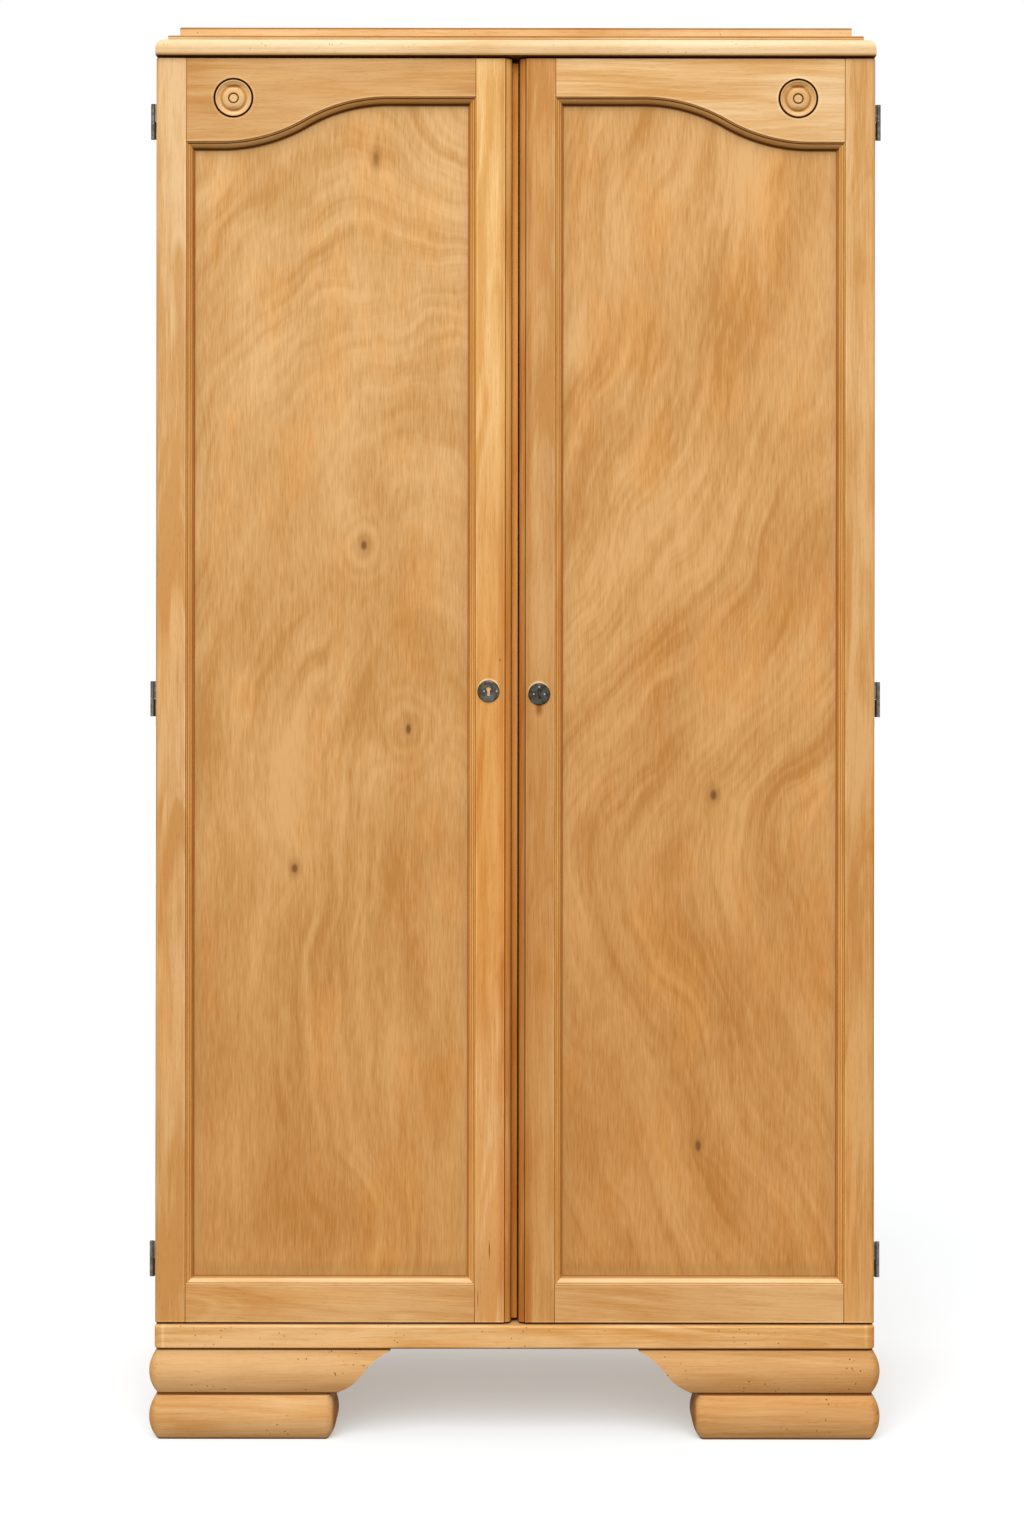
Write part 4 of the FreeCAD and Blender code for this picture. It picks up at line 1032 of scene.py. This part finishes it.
@dataclass(kw_only=True)
class Base(Assembly):
    """The plinth and the two-tier feet.

    Attributes:
        left: The tone of the left feet.
        right: The tone of the right feet.
    """

    left: Colour = OAT
    right: Colour = BARLEY

    def build(self) -> None:
        """Dress the plinth's rails, then the feet on each side."""
        low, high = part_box("plinth_front_rail")
        # A painted highlight along the rounded top edge and where the end starts to round, painted shade on
        # the end as it turns away, and darker towards the foot.
        marks = (
            Line(HEIGHT, high[2] - 0.0012, 0.0016, PALE),
            Fade(HEIGHT, low[2] + 0.0026, low[2] + 0.0006, DIRT_AND_SHADE),
            Line(MIDDLE, high[0] - 0.0115, 0.0022, PALE),
            Fade(MIDDLE, high[0] - 0.0105, high[0] - 0.006, TURNED_AWAY_SHADE),
        )
        plinth_wood = Wood(SAND, contrast=1.0, worm=0.7, marks=marks)
        plinth_wood.dress(self.bare("plinth_front_rail"), ALONG_X, 4.1, tilt=0.003)
        Wood(TAN).dress(self.eased("plinth_back_rail", long_edges(0.02)), ALONG_X, 4.9)
        Wood(TAN).dress(self.bare("glue_blocks"), ALONG_Z, 5.6)
        self.feet(Side.LEFT, self.left)
        self.feet(Side.RIGHT, self.right)

    def feet(self, side: Side, tone: Colour) -> None:
        """Dress one side's bracket, rolls and feet.

        Args:
            side: Which side it is.
            tone: The tone of the wood.
        """
        start = 6.0 + side.value
        low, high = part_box(side.node("bracket"))
        outside = max(abs(low[0]), abs(high[0]))
        toe = min(abs(corner[0]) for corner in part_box(side.node("front_foot")))
        # Painted shade at the top of the bracket under the plinth, dark lines of dirt and painted shade at
        # the necks between the rolls, and a darker foot at the floor for dirt and painted contact shade.
        roll_marks = (
            Fade(HEIGHT, high[2] - 0.016, high[2], SHADED),
            Line(HEIGHT, high[2], 0.0026, DIRT_AND_SHADE),
            Line(HEIGHT, low[2], 0.0026, DIRT_AND_SHADE),
            Fade(HEIGHT, 0.005, 0.0005, STAIN_AND_SHADE),
            Line(HEIGHT, 0.0, 0.0022, DIRT_AND_SHADE),
        )
        # The rounded outer ends get painted shade where they turn away, and the front foot's inner end gets
        # painted shade as well.
        marks = (*roll_marks, Fade(MIDDLE, outside - 0.012, outside - 0.004, TURNED_AWAY_SHADE))
        end_marks = (*marks, Fade(MIDDLE, toe + 0.007, toe + 0.002, STAIN_AND_SHADE))
        for number, (part, dirt) in enumerate((("bracket", marks), ("front_foot", end_marks))):
            foot_wood = Wood(tone, contrast=0.7, worm=1.0, marks=dirt)
            foot_wood.dress(self.bare(side.node(part)), ALONG_X, start + number, tilt=0.01)
        side_wood = Wood(tone, worm=0.6, marks=roll_marks)
        for number, part in enumerate(("plinth_rail", "side_roll", "rear_foot")):
            side_wood.dress(self.bare(side.node(part)), ALONG_Y, start + 3 + number)


@dataclass(kw_only=True)
class Carcass(Assembly):
    """The box behind the doors: sides, boards and back.

    Attributes:
        sides: The veneer of the sides.
        back: The veneer of the back.
    """

    sides: Veneer = SIDE_VENEER
    back: Veneer = BACK_VENEER

    def build(self) -> None:
        """Ease and dress the sides, the boards and the back."""
        for side in Side:
            self.sides.dress(self.eased(side.node("side_panel"), long_edges(0.2)), across_y=True)
        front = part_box("top_board")[0][1]
        # The boards' front edges are darkened as painted shade of the gap round the doors.
        board_wood = Wood(HONEY, marks=(Fade(DEPTH, front + 0.006, front + 0.001, DIRT_AND_SHADE),))
        for number, node in enumerate(("top_board", "bottom_board")):
            board_wood.dress(self.eased(node, long_edges(0.2)), ALONG_X, 9.0 + number)
        self.back.dress(self.bare("back_panel"))


@dataclass(kw_only=True)
class Inside(Assembly):
    """The hat shelf on its cleats and the hanging rail in its sockets."""

    easing: float = 0.001

    def build(self) -> None:
        """Ease and dress the shelf, the cleats, the rail and its sockets."""
        Wood(HONEY).dress(self.eased("hat_shelf", long_edges(0.05)), ALONG_X, 11.2)
        Wood(TAN).dress(self.eased("shelf_cleats", long_edges(0.05)), ALONG_Y, 12.1)
        Wood(SAND, pith=(0.0, 0.004)).dress(self.bare("hanging_rail"), ALONG_X, 13.4)
        HINGE_STEEL.dress(self.bare("rail_sockets"))


# How a stile darkens downwards: evenly, or most in its middle and at its very foot.
EVEN_AGEING = (Fade(HEIGHT, 1.72, 0.45, AGED),)
UNEVEN_AGEING = (
    Fade(HEIGHT, 1.46, 0.92, TOASTED),
    Fade(HEIGHT, 0.66, 0.36, WASHED),
    Fade(HEIGHT, 0.29, 0.20, GREYED),
)

# Thin dark lines where rails meet stiles and along the beads, with a pale line beside them, and at the foot
# a pale line and a near-black painted shadow of the gap above the plinth.
JOINT_MARKS = (
    Line(OPENING, -0.0017, 0.0010, PALE),
    Line(OPENING, 0.0, 0.0008, SEAM),
    Line(MIDDLE, OPENING_OUTER, 0.0008, STAIN_AND_SHADE),
    Line(MIDDLE, OPENING_INNER, 0.0008, STAIN_AND_SHADE),
    Line(HEIGHT, DOOR_FOOT + 0.0017, 0.0011, PALE),
    Line(HEIGHT, DOOR_FOOT, 0.0009, GAP_SHADE),
)

# The quirk and the rounded edge where the doors meet: darker towards the quirk, a painted highlight on the
# bead, painted shade on the rounded edge, a dark line in the quirk, and painted shade of the gap at the
# very edge.
EDGE_MARKS = (
    Fade(MIDDLE, EDGE_QUIRK + 0.012, EDGE_QUIRK + 0.002, AGED),
    Line(MIDDLE, EDGE_QUIRK + 0.0017, 0.0010, PALE),
    Fade(MIDDLE, EDGE_QUIRK, EDGE_QUIRK - 0.0018, ROUNDED_SHADE),
    Line(MIDDLE, EDGE_QUIRK, 0.0011, STAIN_AND_SHADE),
    Fade(MIDDLE, MEETING_EDGE + 0.0016, MEETING_EDGE + 0.0002, STAIN_AND_SHADE),
)

# The dark ring round a rosette, painted shade of the gap it sits in, with a pale edge.
SEAT_MARKS = (
    Line(ROSETTE, ROSETTE_RADIUS + 0.0036, 0.0012, PALE),
    Line(ROSETTE, ROSETTE_RADIUS + 0.0009, 0.0017, GAP_SHADE),
)

# Painted light on a rosette's lower dish and its button, and painted shade in its hollows: the valley,
# above it, on the lower dome, in the groove, at the centre and at the rim.
ROSETTE_MARKS = (
    Spot(ROSETTE_X, ROSETTE_Z - 0.0186, 0.012, 0.0030, PALE),
    Spot(ROSETTE_X, ROSETTE_Z, 0.0052, 0.0052, PALE),
    Line(ROSETTE, 0.0154, 0.0023, HOLLOW_SHADE),
    Spot(ROSETTE_X, ROSETTE_Z + 0.0158, 0.014, 0.0034, STAIN_AND_SHADE),
    Spot(ROSETTE_X, ROSETTE_Z - 0.0128, 0.011, 0.0040, LOWER_SHADE),
    Line(ROSETTE, 0.0061, 0.0013, DIRT_AND_SHADE),
    Line(ROSETTE, 0.0, 0.0009, STAIN_AND_SHADE),
    Fade(ROSETTE, ROSETTE_RADIUS - 0.0009, ROSETTE_RADIUS - 0.0002, GAP_SHADE),
)


@dataclass(kw_only=True)
class Door(Assembly):
    """One door: its frame, panel, beads and rosette.

    Attributes:
        side: Which door it is.
        hinge: The tone of the hinge stile, at its head.
        head: The tone of the top rail.
        meeting: The tone of the meeting stile, at its head.
        panel: The panel's veneer.
        ageing: How the meeting stile darkens downwards.
        wear: The other marks on the meeting stile, among them a painted highlight above the escutcheon.
    """

    side: Side
    hinge: Colour
    head: Colour
    meeting: Colour
    panel: Veneer
    ageing: Marks
    wear: Marks
    easing: float = 0.0006

    def __post_init__(self) -> None:
        """Name the body that the door's pieces ride on."""
        self.body = self.side.node("door")

    def build(self) -> None:
        """Build the door's frame, then its panel, beads and rosette."""
        self.build_frame()
        self.panel.dress(self.bare(self.side.node("panel")))
        self.build_beads()
        rosette_wood = Wood(WHEAT, contrast=0.4, marks=ROSETTE_MARKS)
        rosette_wood.dress(self.bare(self.side.node("rosette")), ALONG_X, 30.0 + self.side.value)

    def build_frame(self) -> None:
        """Ease and dress the two stiles and the two rails."""
        meeting_marks = self.ageing + JOINT_MARKS + EDGE_MARKS + self.wear
        boards = (
            ("hinge_stile", Wood(self.hinge, 1.15, marks=EVEN_AGEING + JOINT_MARKS), ALONG_Z, 0.004),
            ("meeting_stile", Wood(self.meeting, 1.0, marks=meeting_marks), ALONG_Z, 0.006),
            ("top_rail", Wood(self.head, 0.9, marks=JOINT_MARKS + SEAT_MARKS), ALONG_X, 0.012),
            ("bottom_rail", Wood(RYE, 0.9, marks=JOINT_MARKS), ALONG_X, -0.05),
        )
        start = 20.0 + 5 * self.side.value
        for number, (part, wood, grain, tilt) in enumerate(boards):
            piece = self.eased(self.side.node(part), front_edges(DOOR_FRONT))
            wood.dress(piece, grain, start + 0.9 * number, tilt)

    def build_beads(self) -> None:
        """Dress the mouldings round the panel, the top one dark as painted shade under the top rail, and
        the bottom one pale.
        """
        beads = (
            ("side_beads", CARAMEL, ALONG_Z, SEAM, (0.0017, 0.0046)),
            ("top_bead", OLIVE, ALONG_X, DIRT_AND_SHADE, (0.0019,)),
            ("bottom_bead", CREAM, ALONG_X, SEAM, (0.0019,)),
        )
        start = 40.0 + 3 * self.side.value
        for number, (part, tone, grain, dirt, lines) in enumerate(beads):
            # Darker lines along each bead and a fade where it meets the panel; on the top bead they add to
            # its painted shade.
            marks = (
                *(Line(OPENING, level, 0.0008, dirt) for level in lines),
                Fade(OPENING, BEAD_WIDTH - 0.0026, BEAD_WIDTH - 0.0010, dirt),
            )
            bead_wood = Wood(tone, contrast=0.5, marks=marks)
            bead_wood.dress(self.bare(self.side.node(part)), grain, start + 0.8 * number)


@dataclass(kw_only=True)
class Hardware(Assembly):
    """Hinges, escutcheons, lock, bolts and the strip that the doors close on."""

    body: str = "left_door"
    easing: float = 0.0006

    def build(self) -> None:
        """Dress the metalwork, then the closing strip."""
        finishes = {
            HINGE_STEEL: (
                "carcass_hinge_leaves", "left_door_hinge_leaves", "right_door_hinge_leaves", "hinge_pins"
            ),
            PLATE_STEEL: ("left_escutcheon",),
            DARK_STEEL: ("right_escutcheon",),
            TACK_STEEL: ("left_escutcheon_tacks", "right_escutcheon_tacks"),
            LOCK_STEEL: ("bolt_guides", "left_top_bolt", "left_bottom_bolt", "lock_case", "lock_bolt"),
            SCREW_STEEL: ("carcass_screws", "left_door_screws", "right_door_screws"),
        }
        for steel, nodes in finishes.items():
            for node in nodes:
                steel.dress(self.bare(node))
        strip = self.eased("closing_strip", long_edges(0.1))
        Wood(AMBER, marks=(Fade(HEIGHT, 1.1, 0.5, UMBER),)).dress(strip, ALONG_Z, 50.0)


WHITE = (1.0, 1.0, 1.0, 1.0)
BLACK = (0.0, 0.0, 0.0, 1.0)


@dataclass
class Studio:
    """A white floor and ground, soft light from the upper left, and the camera."""

    # The camera's distance from the doors, its height, and its roll in radians.
    distance: float = 3.0
    eye: float = 0.95
    lean: float = -0.0012

    # The picture's size in pixels, where it shows the doors' middle and top edge, and its scale there.
    picture: tuple[int, int] = (1024, 1536)
    middle_px: float = 515.2
    door_top_px: float = 58.3
    metres_per_pixel: float = 0.0012708

    # How strongly the ground lights the object, and the soft light's strength, angle and direction.
    sky: float = 0.62
    sun: float = 2.3
    sun_softness: float = math.radians(55)
    sun_from: Triple = (-0.12, -0.85, 0.82)

    # Half the floor's width, its own glow and its colour where it is seen, and in the light it throws back.
    floor_size: float = 60.0
    floor_glow: Colour = (0.42, 0.385, 0.345, 1.0)
    floor_seen: Colour = (0.62, 0.68, 0.735, 1.0)
    floor_cast: Colour = (0.36, 0.36, 0.36, 1.0)

    def build(self) -> None:
        """Set the view, then make the sky, the sun, the floor and the camera."""
        bpy.context.scene.view_settings.view_transform = "Standard"
        self.make_sky()
        self.make_sun()
        self.make_floor()
        self.make_camera()

    @staticmethod
    def seen_directly(graph: Graph) -> Value:
        """A mask that is 1 where the camera, a reflection or glass looks."""
        rays = graph.add("LightPath").outputs
        return graph.most(*(rays[f"Is {kind} Ray"] for kind in ("Camera", "Glossy", "Transmission")))

    def make_sky(self) -> None:
        """A soft white sky that looks white, and lights the object a little less."""
        world = bpy.data.worlds.new("white_ground")
        bpy.context.scene.world = world
        world.use_nodes = True
        graph = Graph(world.node_tree)
        strength = graph.math("MULTIPLY_ADD", self.seen_directly(graph), 1.0 - self.sky, self.sky)
        graph.feed(graph.tree.nodes["Background"], {"Color": WHITE, "Strength": strength})

    def make_sun(self) -> None:
        """A broad soft light from the upper left front."""
        light = bpy.data.lights.new("soft_light", "SUN")
        light.energy = self.sun
        light.angle = self.sun_softness
        lamp = show(bpy.data.objects.new("soft_light", light))
        lamp.rotation_euler = Vector(self.sun_from).to_track_quat("Z", "Y").to_euler()

    def make_floor(self) -> None:
        """A plain white floor that keeps the object's shadow."""
        mesh = bmesh.new()
        bmesh.ops.create_grid(mesh, x_segments=1, y_segments=1, size=self.floor_size)
        data = bpy.data.meshes.new("floor")
        mesh.to_mesh(data)
        mesh.free()
        material = bpy.data.materials.new("white_floor")
        material.use_nodes = True
        data.materials.append(material)
        graph = Graph(material.node_tree)
        seen = self.seen_directly(graph)
        graph.feed(graph.tree.nodes["Principled BSDF"], {
            "Base Color": graph.mix(seen, self.floor_cast, self.floor_seen),
            "Emission Color": graph.mix(seen, BLACK, self.floor_glow),
            "Emission Strength": 1.0, "Specular IOR Level": 0.0, "Roughness": 1.0,
        })
        floor = show(bpy.data.objects.new("floor", data))

    def make_camera(self) -> None:
        """A level camera in front of the doors, framed with a small shift of its lens."""
        width, height = self.picture
        lens = bpy.data.cameras.new("camera")
        lens.lens = lens.sensor_width * self.distance / (height * self.metres_per_pixel)
        horizon_px = self.door_top_px + (DOOR_TOP - self.eye) / self.metres_per_pixel
        lens.shift_x = (width / 2 - self.middle_px) / height
        lens.shift_y = (horizon_px - height / 2) / height
        camera = show(bpy.data.objects.new("camera", lens))
        camera.location = (0.0, DOOR_FRONT - self.distance, self.eye)
        camera.rotation_euler = (math.pi / 2, self.lean, 0.0)
        bpy.context.scene.camera = camera


# How far the painted highlight above each escutcheon is raised, and how far it reaches past the rim.
CRESCENT_RISE = 0.0027
RIM = 0.0003


def crescent(node: str, aside: float) -> Spot:
    """A painted highlight: a pale crescent on the wood above an escutcheon, standing in for the light on
    its rim, moved aside, away from the wardrobe's middle.
    """
    x, z, radius = disc(node)
    return Spot(x + aside, z + CRESCENT_RISE, radius + RIM, radius + RIM, RIM_HIGHLIGHT, 0.94)


PLATE_X, PLATE_Z, PLATE_RADIUS = disc("right_escutcheon")
RUST = Spot(PLATE_X, PLATE_Z - PLATE_RADIUS - 0.004, 0.007, 0.014, RUSTY, 0.2)
NAIL = Spot(0.0193, 0.990, 0.0009, 0.0028, DIRT_AND_SHADE)
CRACKS = (Spot(0.0320, 0.240, 0.0010, 0.0160, DIRT_AND_SHADE), Spot(0.0466, 0.178, 0.0009, 0.0180, STAIN_AND_SHADE))
LEFT_DOOR = Door(
    side=Side.LEFT, hinge=STRAW, head=HONEY, meeting=GOLD, panel=LEFT_PANEL, ageing=UNEVEN_AGEING,
    wear=(crescent("left_escutcheon", 0.0), NAIL, *CRACKS),
)
RIGHT_DOOR = Door(
    side=Side.RIGHT, hinge=SAND, head=WHEAT, meeting=HONEY, panel=RIGHT_PANEL, ageing=EVEN_AGEING,
    wear=(RUST, crescent("right_escutcheon", -0.0008)),
)


def main() -> None:
    """Build each sub-assembly, then the studio."""
    logging.basicConfig(level=logging.INFO, format="%(name)s: %(message)s")
    for part in (Cornice(), Base(), Carcass(), Inside(), LEFT_DOOR, RIGHT_DOOR, Hardware(), Studio()):
        LOG.info("building %s", type(part).__name__)
        part.build()


if __name__ == "__main__":
    main()
